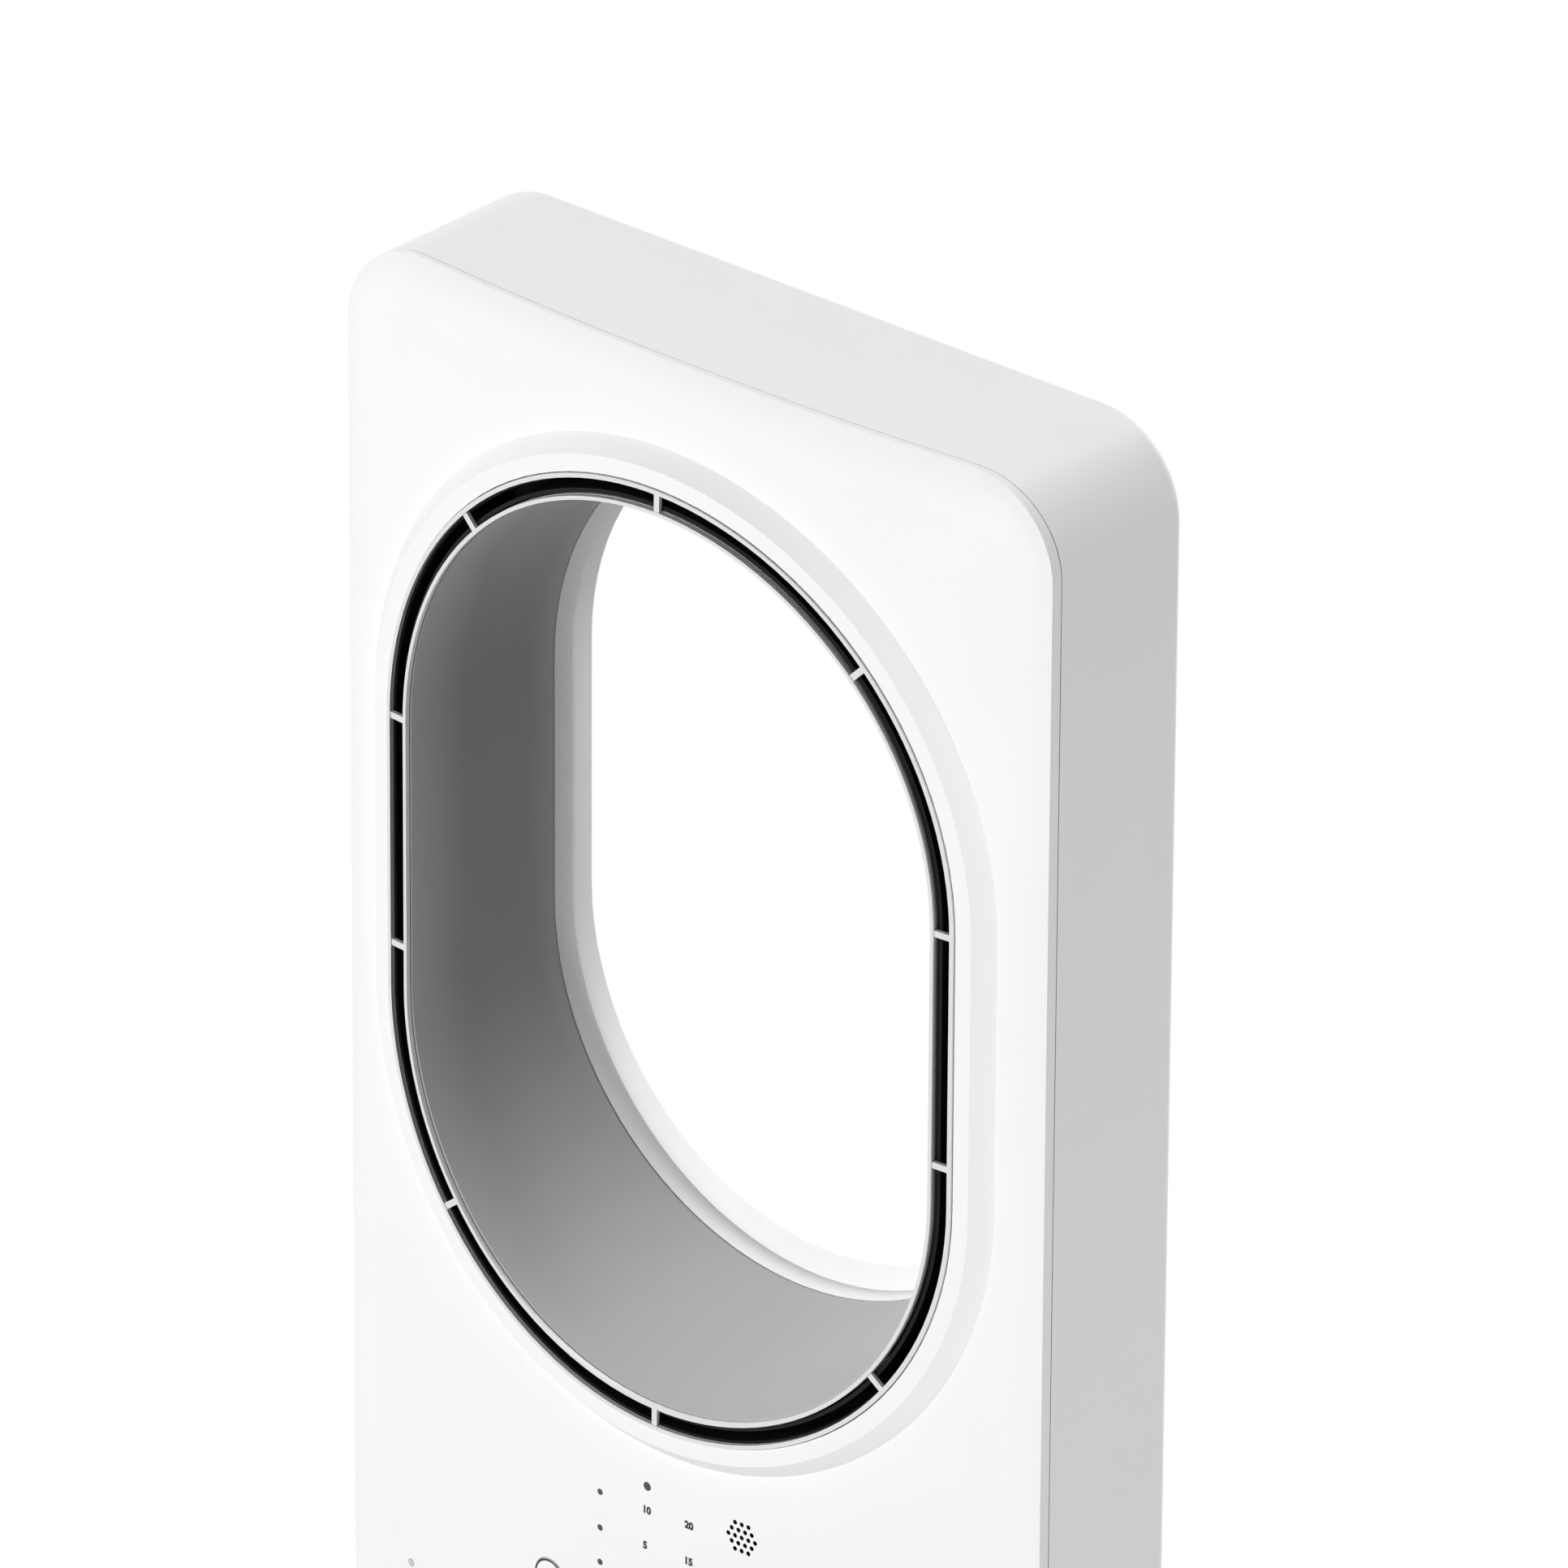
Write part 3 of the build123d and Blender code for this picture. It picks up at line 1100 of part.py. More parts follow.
def power_inlet():
    """Low-voltage socket at the back of the stand."""
    nose_y = STAND_R - STAND_WALL / 2
    nose = Plane(origin=(0, nose_y, INLET_Z), z_dir=(0, -1, 0)) * Circle(INLET_R)
    socket = extrude(nose, INLET_NOSE)
    bottom = BOTTOM_Z + BOTTOM_T + SEAT
    height = 2 * (INLET_Z - bottom)
    back = nose_y - INLET_NOSE + JOIN
    socket += Pos(0, back - INLET_BOX_D / 2, INLET_Z) * Box(INLET_BOX_W, INLET_BOX_D, height)
    bore = Plane(origin=(0, nose_y + CUT, INLET_Z), z_dir=(0, -1, 0))
    socket -= extrude(bore * (Circle(INLET_BORE_R) - Circle(INLET_PIN_R)), INLET_BOX_D)
    return socket


PIECES = {
    "front_panel": front_panel,
    "rear_housing": rear_housing,
    "outlet_grille": outlet_grille,
    "nozzle_ring": nozzle_ring,
    "bore_liner": bore_liner,
    "liner_gasket": liner_gasket,
    "plenum_wall": plenum_wall,
    "duct_gasket": duct_gasket,
    "control_board": control_board,
    "tact_switches": tact_switches,
    "light_guides": light_guides,
    "buzzer": buzzer,
    "sensor_board": sensor_board,
    "sensor_window": sensor_window,
    "blower_case": blower_case,
    "blower_cover": blower_cover,
    "motor_bracket": motor_bracket,
    "motor_grommets": motor_grommets,
    "motor_bearings": motor_bearings,
    "motor_board": motor_board,
    "motor_stator": motor_stator,
    "rotor_magnet": rotor_magnet,
    "motor_rotor": motor_rotor,
    "motor_shaft": motor_shaft,
    "impeller": impeller,
    "impeller_nut": impeller_nut,
    "intake_filter": intake_filter,
    "intake_grille": intake_grille,
    "main_board": main_board,
    "turntable": turntable,
    "spindle_bush": spindle_bush,
    "stand_cover": stand_cover,
    "base_plate": base_plate,
    "rubber_feet": rubber_feet,
    "ballast_ring": ballast_ring,
    "swing_gear": swing_gear,
    "swing_pinion": swing_pinion,
    "swing_motor": swing_motor,
    "power_inlet": power_inlet,
}

for piece_name, make_piece in PIECES.items():
    save(piece_name, make_piece())
for key_name, key_x in zip(("power_key", "speed_key", "timer_key", "swing_key"), KEY_XS):
    save(key_name, key(key_x))
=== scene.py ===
"""Looks of the bladeless fan: finishes, screws, sound holes, filter pleats and printed marks. Metres.

The front faces -Y. Places come from the boxes and surfaces of the solids, sizes are named below.
"""

import json
from math import cos, pi, radians, sin, sqrt

import bmesh
import bpy
from mathutils import Matrix, Vector
from mathutils.bvhtree import BVHTree


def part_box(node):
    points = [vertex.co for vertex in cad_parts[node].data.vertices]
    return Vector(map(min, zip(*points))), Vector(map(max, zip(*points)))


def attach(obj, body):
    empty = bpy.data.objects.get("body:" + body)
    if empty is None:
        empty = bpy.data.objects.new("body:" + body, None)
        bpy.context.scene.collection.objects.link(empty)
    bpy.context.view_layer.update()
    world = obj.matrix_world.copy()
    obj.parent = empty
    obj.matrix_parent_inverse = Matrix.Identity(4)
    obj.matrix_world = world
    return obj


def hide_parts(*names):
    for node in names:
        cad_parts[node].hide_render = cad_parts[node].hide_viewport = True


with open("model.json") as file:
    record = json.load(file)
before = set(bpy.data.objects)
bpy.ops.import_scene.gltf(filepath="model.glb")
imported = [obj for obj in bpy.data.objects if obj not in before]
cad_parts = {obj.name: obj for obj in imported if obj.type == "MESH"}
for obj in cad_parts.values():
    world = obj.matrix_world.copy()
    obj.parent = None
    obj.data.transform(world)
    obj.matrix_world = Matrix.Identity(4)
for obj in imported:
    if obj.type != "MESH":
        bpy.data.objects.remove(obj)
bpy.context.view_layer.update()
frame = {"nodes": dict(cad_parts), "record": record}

MM = 0.001
IN_FRONT = -1.0  # Y of a place in front of the whole fan, from which its face is found

# ---- camera, as fitted to the photograph ----
PHOTO_SIDE_PX = 1932
FOCAL_PX = 21710.4
SENSOR_MM = 36.0
CAMERA_AZIMUTH = radians(40.993)
CAMERA_ELEVATION = radians(26.703)
CAMERA_ROLL = radians(0.344)
CAMERA_DISTANCE = 5.0907
CAMERA_TARGET = Vector((0.0331, -0.022, 0.514))

# ---- light ----
AMBIENT = 0.06  # light from all round, as a share of white
LAMPS = {  # direction from the object to the lamp, light on a surface that faces it, softness
    "left_lamp": ((-0.85, -0.50, 0.10), 0.12, radians(30)),
    "front_lamp": ((-0.16, -0.97, 0.13), 0.40, radians(30)),
    "back_top_lamp": ((-0.12, 0.72, 0.70), 0.90, radians(40)),
}
PANELS = {  # where a lit panel stands, what it is turned to, its side, light where it aims
    "front_light": ((-0.36, -2.20, 1.10), (0.0, 0.0, 0.52), 0.9, 0.48),
    "right_light": ((1.90, 0.00, 0.24), (0.1, 0.0, 0.44), 0.5, 0.46),
}

# ---- floor ----
FLOOR_RADIUS = 1.5
FLOOR_SIDES = 96
FLOOR_ALBEDO = 0.34
FLOOR_GLOW = 0.78  # seen light that brings the lit floor up to the white of the background
FLOOR_SHOWN_TO = 0.26  # the floor fades to the white background between these two distances
FLOOR_WHITE_FROM = 0.46

# ---- shells whose rounds are shaded smooth ----
KEYS = ("power_key", "speed_key", "timer_key", "swing_key")
SMOOTH_SHELLS = ("rear_housing", "bore_liner", "outlet_grille", "nozzle_ring", "stand_cover", "turntable",
                 "base_plate", "rubber_feet") + KEYS
WELD_GAP = 1e-6  # points nearer to each other than this are one point
CREASE = radians(20)  # a corner that turns more than this stays an edge
FLAT_FACE_WEIGHT = 60  # above 50, large faces count for more in the shading beside them

# ---- screws: the head's radius, and the rest of their shape in head radii ----
SCREW_HEAD_R = 2.7 * MM
SCREW_SIDES = 24
SCREW_SHANK_R = 0.52
SCREW_SHANK_L = 2.2
SCREW_HEAD_H = 0.62
SCREW_DOME = ((1.0, 0.0), (1.0, 0.22), (0.93, 0.42), (0.78, 0.55), (0.58, SCREW_HEAD_H))  # radius, height
SCREW_CREASE = radians(40)
RECESS_REACH = 0.46
RECESS_HALF_WIDTH = 0.11
RECESS_DEPTH = 0.42
RECESS_FLOOR = 0.7  # of the recess's size at the top
SCREW_SEED = 7  # for the angle at which each screw happens to stop

# ---- places of the screws ----
JOINING_IN_FROM_SIDE = 13 * MM
JOINING_IN_FROM_END = 23 * MM
JOINING_OVER_PLENUM = 12 * MM  # the middle pair, above the plenum wall
WELL_SHOULDER_OUT = 2.2 * MM  # a place on the shoulder of a well, off the well's axis
BEHIND_BACK = 1 * MM  # start of the look into a well
GRILLE_SCREW_IN = 6.2 * MM
BASE_SCREW_IN = 6.9 * MM  # from the edge of the base plate
BASE_SCREW_TURN = radians(22.5)

# ---- sound holes ----
HOLE_PITCH = 2.55 * MM
HOLE_R = 0.78 * MM
HOLE_REACH = 8 * MM
HOLE_SIDES = 16
HOLE_RINGS = 2  # round the middle hole

# ---- printed marks ----
INK_T = 0.03 * MM
INK_SINK = 0.03 * MM
NUMBER_SIZE = 3.3 * MM
NUMBER_STROKE = 0.19 * MM  # added all round each figure, which makes it bold
NUMBERS = (  # figures, across from the middle, down from the top of the body
    ("10", -7.7 * MM, 375.5 * MM),
    ("5", -8.3 * MM, 387.6 * MM),
    ("20", 9.0 * MM, 374.6 * MM),
    ("15", 8.8 * MM, 386.8 * MM),
)
SIGN_LINE = 0.42 * MM
SIGN_R = 2.3 * MM
KEY_RING_R = 5.56 * MM  # printed ring just inside the edge of each key
KEY_RING_LINE = 0.66 * MM
LINE_TURN = radians(8)  # about this turn from one pair of points to the next along a round line
LINE_STEPS = 4  # fewest steps along any line

# ---- filter ----
PLEAT_PITCH = 4.2 * MM
PLEAT_SHEET_T = 0.5 * MM
PLEAT_COLUMNS = 40
PLEAT_CORNER = 14.5 * MM  # kept free for the corner blocks of the intake


# ---- node trees written as expressions ----
class Link:
    """A socket of a node tree; arithmetic on it adds Math nodes."""

    def __init__(self, tree, socket):
        self.tree = tree
        self.socket = socket

    def math(self, operation, *values):
        """Result of a Math node with these values or links."""
        inputs = dict(enumerate(values))
        return self.tree.node("ShaderNodeMath", {"operation": operation}, inputs)

    def __add__(self, other):
        return self.math("ADD", self, other)

    def __radd__(self, other):
        return self.math("ADD", other, self)

    def __sub__(self, other):
        return self.math("SUBTRACT", self, other)

    def __mul__(self, other):
        return self.math("MULTIPLY", self, other)

    def __rmul__(self, other):
        return self.math("MULTIPLY", other, self)

    def __truediv__(self, other):
        return self.math("DIVIDE", self, other)

    def __lt__(self, other):
        return self.math("LESS_THAN", self, other)

    def __gt__(self, other):
        return self.math("GREATER_THAN", self, other)

    def power(self, exponent):
        return self.math("POWER", self, exponent)

    def absolute(self):
        return self.math("ABSOLUTE", self)

    def limited(self):
        return self.math("MINIMUM", self.math("MAXIMUM", self, 0.0), 1.0)

    def wave(self, period):
        """0 to 1 and back, in straight lines, once for each period."""
        return self.math("PINGPONG", self / (period / 2), 1.0)

    def spread(self, amount):
        """A pattern between 0 and 1, moved to lie about zero and made this wide."""
        return (self - 0.5) * amount

    def beside(self, *names):
        """The outputs with these names, of the node that this one belongs to."""
        return [Link(self.tree, self.socket.node.outputs[name]) for name in names]


class Tree:
    """Adds nodes to a shader or geometry tree."""

    def __init__(self, tree):
        self.tree = tree

    def node(self, kind, settings=None, inputs=None, output=0):
        """Add a node: its settings first, then the values or links of its sockets."""
        made = self.tree.nodes.new(kind)
        for name, value in (settings or {}).items():
            setattr(made, name, value)
        for name, value in (inputs or {}).items():
            socket = made.inputs[name]
            if isinstance(value, Link):
                self.tree.links.new(value.socket, socket)
            else:
                socket.default_value = value
        return Link(self, made.outputs[output]) if len(made.outputs) else None


class Finish(Tree):
    """A material made of nodes on Object coordinates."""

    def __init__(self, name):
        self.material = bpy.data.materials.new(name)
        self.material.use_nodes = True
        super().__init__(self.material.node_tree)
        self.tree.nodes.clear()
        self.place = self.node("ShaderNodeTexCoord", output="Object")

    def noise(self, size, detail=2.0, stretch=(1, 1, 1)):
        """Cloudy pattern of this grain size, about 0.5 on average."""
        scale = Vector((1 / (size * s) for s in stretch))
        spread = self.node("ShaderNodeVectorMath", {"operation": "MULTIPLY"}, {0: self.place, 1: scale})
        inputs = {"Vector": spread, "Scale": 1.0, "Detail": detail, "Roughness": 0.55}
        return self.node("ShaderNodeTexNoise", None, inputs, "Fac")

    def cells(self, size):
        """Distance to the nearest of many scattered points, one to a cell of this size."""
        inputs = {"Vector": self.place, "Scale": 1 / size}
        return self.node("ShaderNodeTexVoronoi", None, inputs, "Distance")

    def axis(self, name):
        """One coordinate of the place."""
        return self.node("ShaderNodeSeparateXYZ", None, {0: self.place}, name)

    def blend(self, factor, first, second):
        """Colour between two colours."""
        inputs = {0: factor, 6: first, 7: second}
        return self.node("ShaderNodeMix", {"data_type": "RGBA"}, inputs, 2)

    def relief(self, height, depth):
        """Normal of a surface with this pattern pressed into it, so deep at most."""
        inputs = {"Height": height, "Distance": depth, "Strength": 1.0}
        return self.node("ShaderNodeBump", None, inputs)

    def surface(self, **inputs):
        """Finish the material with a shader whose sockets are named with underscores for spaces."""
        sockets = {name.replace("_", " "): value for name, value in inputs.items()}
        shader = self.node("ShaderNodeBsdfPrincipled", None, sockets)
        self.node("ShaderNodeOutputMaterial", None, {"Surface": shader})
        return self.material


def paint(red, green, blue):
    """Colour given in screen values from 0 to 255."""
    def linear(value):
        share = value / 255
        return share / 12.92 if share <= 0.04045 else ((share + 0.055) / 1.055) ** 2.4
    return (linear(red), linear(green), linear(blue), 1.0)


def shaded(colour, share):
    """The colour, darker by this share, or lighter where the share is negative."""
    return tuple(channel * (1 - share) for channel in colour[:3]) + (1.0,)


# ---- finishes ----
def moulded(name, colour, roughness, grain=0.5 * MM, depth=0.004 * MM, gloss=0.3, cloud=0.03):
    """Moulded plastic: fine spark-eroded grain, and faint clouds in its colour and gloss."""
    finish = Finish(name)
    clouds = finish.noise(size=40 * MM, detail=3.0)
    fine = finish.noise(size=grain)
    flow = finish.noise(size=9 * MM, stretch=(1.0, 1.0, 2.5))
    return finish.surface(
        Base_Color=finish.blend(clouds, shaded(colour, cloud), colour),
        Roughness=roughness + flow.spread(0.12) + fine.spread(0.06),
        Specular_IOR_Level=gloss,
        Normal=finish.relief(fine + flow * 0.5, depth))


def lens(name, colour):
    """Smoked clear plastic of the lamps, the remote control's eye and the sensor's window."""
    finish = Finish(name)
    haze = finish.noise(size=0.8 * MM)
    return finish.surface(
        Base_Color=finish.blend(haze, shaded(colour, 0.4), colour),
        Roughness=0.12 + haze * 0.08,
        Coat_Weight=0.6,
        Coat_Roughness=0.05)


def rubber(name, colour):
    """Soft rubber or foam with a dull, slightly dusty skin."""
    finish = Finish(name)
    dust = finish.noise(size=2.5 * MM, detail=4.0)
    pores = finish.cells(size=0.35 * MM)
    dusty = tuple(channel * 0.8 + 0.04 for channel in colour[:3]) + (1.0,)
    return finish.surface(
        Base_Color=finish.blend(dust.power(3.0), colour, dusty),
        Roughness=0.78 + dust.spread(0.2),
        Specular_IOR_Level=0.25,
        Normal=finish.relief(pores, depth=0.02 * MM))


def brushed(name, colour, roughness, stretch):
    """Metal with fine lines, drawn out along each axis as far as stretch says."""
    finish = Finish(name)
    lines = finish.noise(size=0.12 * MM, detail=3.0, stretch=stretch)
    stains = finish.noise(size=12 * MM, detail=3.0)
    return finish.surface(
        Base_Color=finish.blend(stains, shaded(colour, 0.18), colour),
        Metallic=1.0,
        Roughness=roughness + lines.spread(0.22),
        Normal=finish.relief(lines, depth=0.006 * MM))


def laminated(name, colour):
    """Thin core plates stacked along the motor's axle, with lacquer between them."""
    finish = Finish(name)
    plates = finish.axis("Y").wave(period=0.5 * MM)
    rust = finish.noise(size=3 * MM, detail=4.0)
    return finish.surface(
        Base_Color=finish.blend(plates * 0.7 + rust * 0.3, shaded(colour, 0.6), colour),
        Metallic=0.85,
        Roughness=0.42 + rust * 0.2,
        Normal=finish.relief(plates, depth=0.03 * MM))


def cast(name, colour, metallic):
    """Rough cast or sintered surface."""
    finish = Finish(name)
    lumps = finish.noise(size=1.2 * MM, detail=5.0)
    pits = finish.cells(size=1.0 * MM)
    return finish.surface(
        Base_Color=finish.blend(lumps, shaded(colour, 0.35), colour),
        Metallic=metallic,
        Roughness=0.62 + lumps.spread(0.25),
        Normal=finish.relief(lumps + pits * 0.5, depth=0.08 * MM))


def circuit(name, mask, copper):
    """Circuit board: solder mask over copper tracks, with bare pads."""
    track_pitch, pad_pitch = 2.6 * MM, 5.08 * MM
    finish = Finish(name)
    across = finish.axis("X")
    up = finish.axis("Z")
    bend = finish.noise(size=14 * MM, detail=1.0).spread(14 * MM)
    tracks = (across + bend).wave(track_pitch) < 0.42
    pads = (up.wave(pad_pitch) < 0.3) * (across.wave(pad_pitch) < 0.3)
    masked = finish.blend(tracks * 0.8, mask, shaded(mask, -0.5))
    return finish.surface(
        Base_Color=finish.blend(pads, masked, copper),
        Metallic=pads * 0.9,
        Roughness=0.34 + finish.noise(size=1.5 * MM) * 0.1,
        Normal=finish.relief(tracks + pads, depth=0.035 * MM))


def felt(name, colour):
    """Pleated filter felt with crossed fibres and dust in its folds."""
    finish = Finish(name)
    along = finish.noise(size=0.25 * MM, detail=4.0, stretch=(6.0, 1.0, 1.0))
    athwart = finish.noise(size=0.25 * MM, detail=4.0, stretch=(1.0, 1.0, 6.0))
    dust = finish.noise(size=18 * MM, detail=3.0)
    fibres = along * athwart * 2.0
    return finish.surface(
        Base_Color=finish.blend(fibres * 0.5 + dust * 0.3, shaded(colour, 0.35), colour),
        Roughness=0.92,
        Specular_IOR_Level=0.1,
        Sheen_Weight=0.25,
        Normal=finish.relief(fibres, depth=0.12 * MM))


def ink(name, colour):
    """Pad-printed ink, a little darker where it lies thicker."""
    finish = Finish(name)
    cover = finish.noise(size=0.25 * MM, detail=3.0)
    return finish.surface(
        Base_Color=finish.blend(cover, colour, shaded(colour, 0.3)),
        Roughness=0.5 + cover * 0.1,
        Specular_IOR_Level=0.3,
        Normal=finish.relief(cover, depth=0.004 * MM))


def make_finishes():
    """One finish for each material slot of the record."""
    shell = {"colour": paint(243, 243, 243), "roughness": 0.5, "gloss": 0.22}
    rough = {"roughness": 0.5, "grain": 0.7 * MM, "depth": 0.012 * MM}
    inner = {"roughness": 0.6, "grain": 0.8 * MM, "depth": 0.012 * MM}
    return {
        "shell_white": moulded("shell_white", **shell),
        "stand_white": moulded("stand_white", **shell),
        "key_white": moulded("key_white", paint(245, 245, 245), 0.36, grain=0.3 * MM),
        "trim_grey": moulded("trim_grey", paint(222, 222, 223), 0.38, grain=0.3 * MM),
        # the bore liner's grey is partly its own colour and partly painted shade, made darker to stand
        # for the dim light deep in the bore
        "liner_grey": moulded("liner_grey", paint(178, 178, 178), 0.46, grain=0.35 * MM, gloss=0.12),
        # painted shade: the inside of the air slot is coloured near black to stand for the shade deep in
        # the narrow slot
        "nozzle_black": moulded("nozzle_black", paint(12, 12, 12), 0.55, grain=0.6 * MM, gloss=0.15),
        "black_plastic": moulded("black_plastic", paint(32, 32, 33), **rough),
        "inner_plastic": moulded("inner_plastic", paint(216, 215, 210), **inner),
        "impeller_grey": moulded("impeller_grey", paint(120, 123, 126), 0.5),
        "gear_plastic": moulded("gear_plastic", paint(232, 228, 214), 0.34, grain=0.4 * MM, gloss=0.45),
        "clear_plastic": lens("clear_plastic", paint(40, 41, 44)),
        "seal_black": rubber("seal_black", paint(30, 30, 30)),
        "board_green": circuit("board_green", mask=paint(18, 84, 44), copper=paint(214, 200, 160)),
        "steel": brushed("steel", paint(196, 197, 200), 0.34, stretch=(1.0, 14.0, 1.0)),
        "core_steel": laminated("core_steel", paint(128, 124, 120)),
        "magnet": cast("magnet", paint(62, 62, 66), metallic=0.5),
        "brass_nut": brushed("brass_nut", paint(214, 184, 112), 0.28, stretch=(8.0, 1.0, 8.0)),
        "ballast_iron": cast("ballast_iron", paint(84, 84, 86), metallic=0.7),
        "filter_fabric": felt("filter_fabric", paint(232, 232, 228)),
    }


def own_finishes():
    """Finishes of single solids that look unlike the rest of their slot."""
    return {
        "liner_gasket": rubber("gasket_foam", paint(176, 176, 175)),
        "sensor_window": lens("sensor_smoke", paint(214, 214, 215)),
    }


def put_finishes(finishes, own):
    """Give every solid its own finish, or that of its slot."""
    for part in frame["record"]["subparts"]:
        name = part["node"]
        node = frame["nodes"][name]
        node.data.materials.clear()
        node.data.materials.append(own.get(name, finishes[part["material_slot"]]))


# ---- meshes ----
def new_object(name, data):
    """Put a mesh, curve, lamp or camera into the scene as an object at the origin."""
    made = bpy.data.objects.new(name, data)
    bpy.context.scene.collection.objects.link(made)
    return made


def mesh_of(shape, name):
    """Turn a bmesh into a plain mesh."""
    mesh = bpy.data.meshes.new(name)
    shape.to_mesh(mesh)
    shape.free()
    return mesh


def smooth(mesh, crease=CREASE):
    """Shade round stretches smooth and keep the edges."""
    kept_normals = mesh.attributes.get("custom_normal")
    if kept_normals is not None:
        mesh.attributes.remove(kept_normals)
    mesh.shade_smooth()
    mesh.set_sharp_from_angle(angle=crease)


def weigh_normals(piece):
    """Keep large flat faces flat right up to the rounds beside them."""
    modifier = piece.modifiers.new("even_faces", "WEIGHTED_NORMAL")
    modifier.keep_sharp = True
    modifier.weight = FLAT_FACE_WEIGHT


def merged_copy(node_name, name):
    """Closed mesh of a solid, for a piece that takes its place."""
    shape = bmesh.new()
    shape.from_mesh(frame["nodes"][node_name].data)
    bmesh.ops.remove_doubles(shape, verts=shape.verts, dist=WELD_GAP)
    return mesh_of(shape, name)


def evaluated(piece, name):
    """Plain mesh of a piece with its modifiers applied."""
    bpy.context.view_layer.update()
    graph = bpy.context.evaluated_depsgraph_get()
    mesh = bpy.data.meshes.new_from_object(piece.evaluated_get(graph))
    mesh.name = name
    return mesh


def finish_piece(piece, body, material=None):
    """Let a piece ride on its body; a material given here replaces its own."""
    if material is not None:
        piece.data.materials.clear()
        piece.data.materials.append(material)
    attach(piece, body)
    return piece


def middle(node_name):
    """Centre of a solid's box."""
    low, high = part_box(node_name)
    return (low + high) / 2


class Surface:
    """The outside of one solid, to set things on."""

    def __init__(self, node_name):
        mesh = frame["nodes"][node_name].data
        points = [vertex.co for vertex in mesh.vertices]
        faces = [tuple(face.vertices) for face in mesh.polygons]
        self.tree = BVHTree.FromPolygons(points, faces)

    def hit(self, start, direction):
        """First point of the surface from a start along a direction."""
        return self.tree.ray_cast(Vector(start), Vector(direction))[0]

    def front_y(self, x, z):
        """Where the surface lies as seen from the front, at this place."""
        return self.hit((x, IN_FRONT, z), (0, 1, 0)).y


def neighbours(ring):
    """Each point of a closed ring with the one after it."""
    return list(zip(ring, ring[1:] + ring[:1]))


def add_band(shape, first, second):
    """Faces between two closed rings with as many points."""
    for (here, after), (across, across_after) in zip(neighbours(first), neighbours(second)):
        shape.faces.new((here, after, across_after, across))


# ---- geometry node trees ----
def geometry_tree(name, sizes):
    """New tree with a geometry input, these named sizes, and a geometry output."""
    group = bpy.data.node_groups.new(name, "GeometryNodeTree")
    sockets = group.interface
    sockets.new_socket("Geometry", in_out="INPUT", socket_type="NodeSocketGeometry")
    for size, kind in sizes.items():
        sockets.new_socket(size, in_out="INPUT", socket_type=kind)
    sockets.new_socket("Geometry", in_out="OUTPUT", socket_type="NodeSocketGeometry")
    return group


def run_tree(group, start, values, name):
    """Run a tree on a start mesh with these input values and return the plain mesh."""
    carrier = new_object(name + "_carrier", start)
    modifier = carrier.modifiers.new(name, "NODES")
    modifier.node_group = group
    for item in group.interface.items_tree:
        if item.in_out == "INPUT" and item.name in values:
            modifier[item.identifier] = values[item.name]
    mesh = evaluated(carrier, name)
    bpy.data.objects.remove(carrier)
    return mesh


def end_tree(tree, geometry, material):
    """Realise the instances, set the finish and end the tree."""
    solid = tree.node("GeometryNodeRealizeInstances", None, {0: geometry})
    dressed = tree.node("GeometryNodeSetMaterial", None, {0: solid, "Material": material})
    tree.node("NodeGroupOutput", None, {0: dressed})


# ---- screws ----
def screw_ring(shape, radius, height):
    """Points round the screw's axis."""
    angles = [2 * pi * k / SCREW_SIDES for k in range(SCREW_SIDES)]
    return [shape.verts.new((radius * cos(a), radius * sin(a), height)) for a in angles]


def screw_mesh(name):
    """Pan-head screw of head radius 1 on the XY plane, its head up, with a cross recess."""
    shank = ((SCREW_SHANK_R, -SCREW_SHANK_L), (SCREW_SHANK_R, 0.0))
    shape = bmesh.new()
    rings = [screw_ring(shape, radius, height) for radius, height in shank + SCREW_DOME]
    for low, high in zip(rings, rings[1:]):
        add_band(shape, low, high)
    shape.faces.new(list(reversed(rings[0])))
    cross = cross_outline(RECESS_REACH, RECESS_HALF_WIDTH)
    floor_z = SCREW_HEAD_H - RECESS_DEPTH
    top = [shape.verts.new((x, y, SCREW_HEAD_H)) for x, y in cross]
    floor = [shape.verts.new((x * RECESS_FLOOR, y * RECESS_FLOOR, floor_z)) for x, y in cross]
    rim = [shape.edges.get(pair) for pair in neighbours(rings[-1])]
    lip = [shape.edges.new(pair) for pair in neighbours(top)]
    bmesh.ops.triangle_fill(shape, use_beauty=True, edges=rim + lip, normal=(0, 0, 1))
    add_band(shape, floor, top)
    shape.faces.new(floor)
    bmesh.ops.recalc_face_normals(shape, faces=shape.faces)
    mesh = mesh_of(shape, name)
    smooth(mesh, SCREW_CREASE)
    return mesh


def cross_outline(reach, half_width):
    """Twelve corners of an upright cross."""
    corners = []
    for turn in range(4):
        c, s = cos(pi / 2 * turn), sin(pi / 2 * turn)
        for x, y in ((half_width, half_width), (half_width, reach), (-half_width, reach)):
            corners.append((x * c - y * s, x * s + y * c))
    return corners


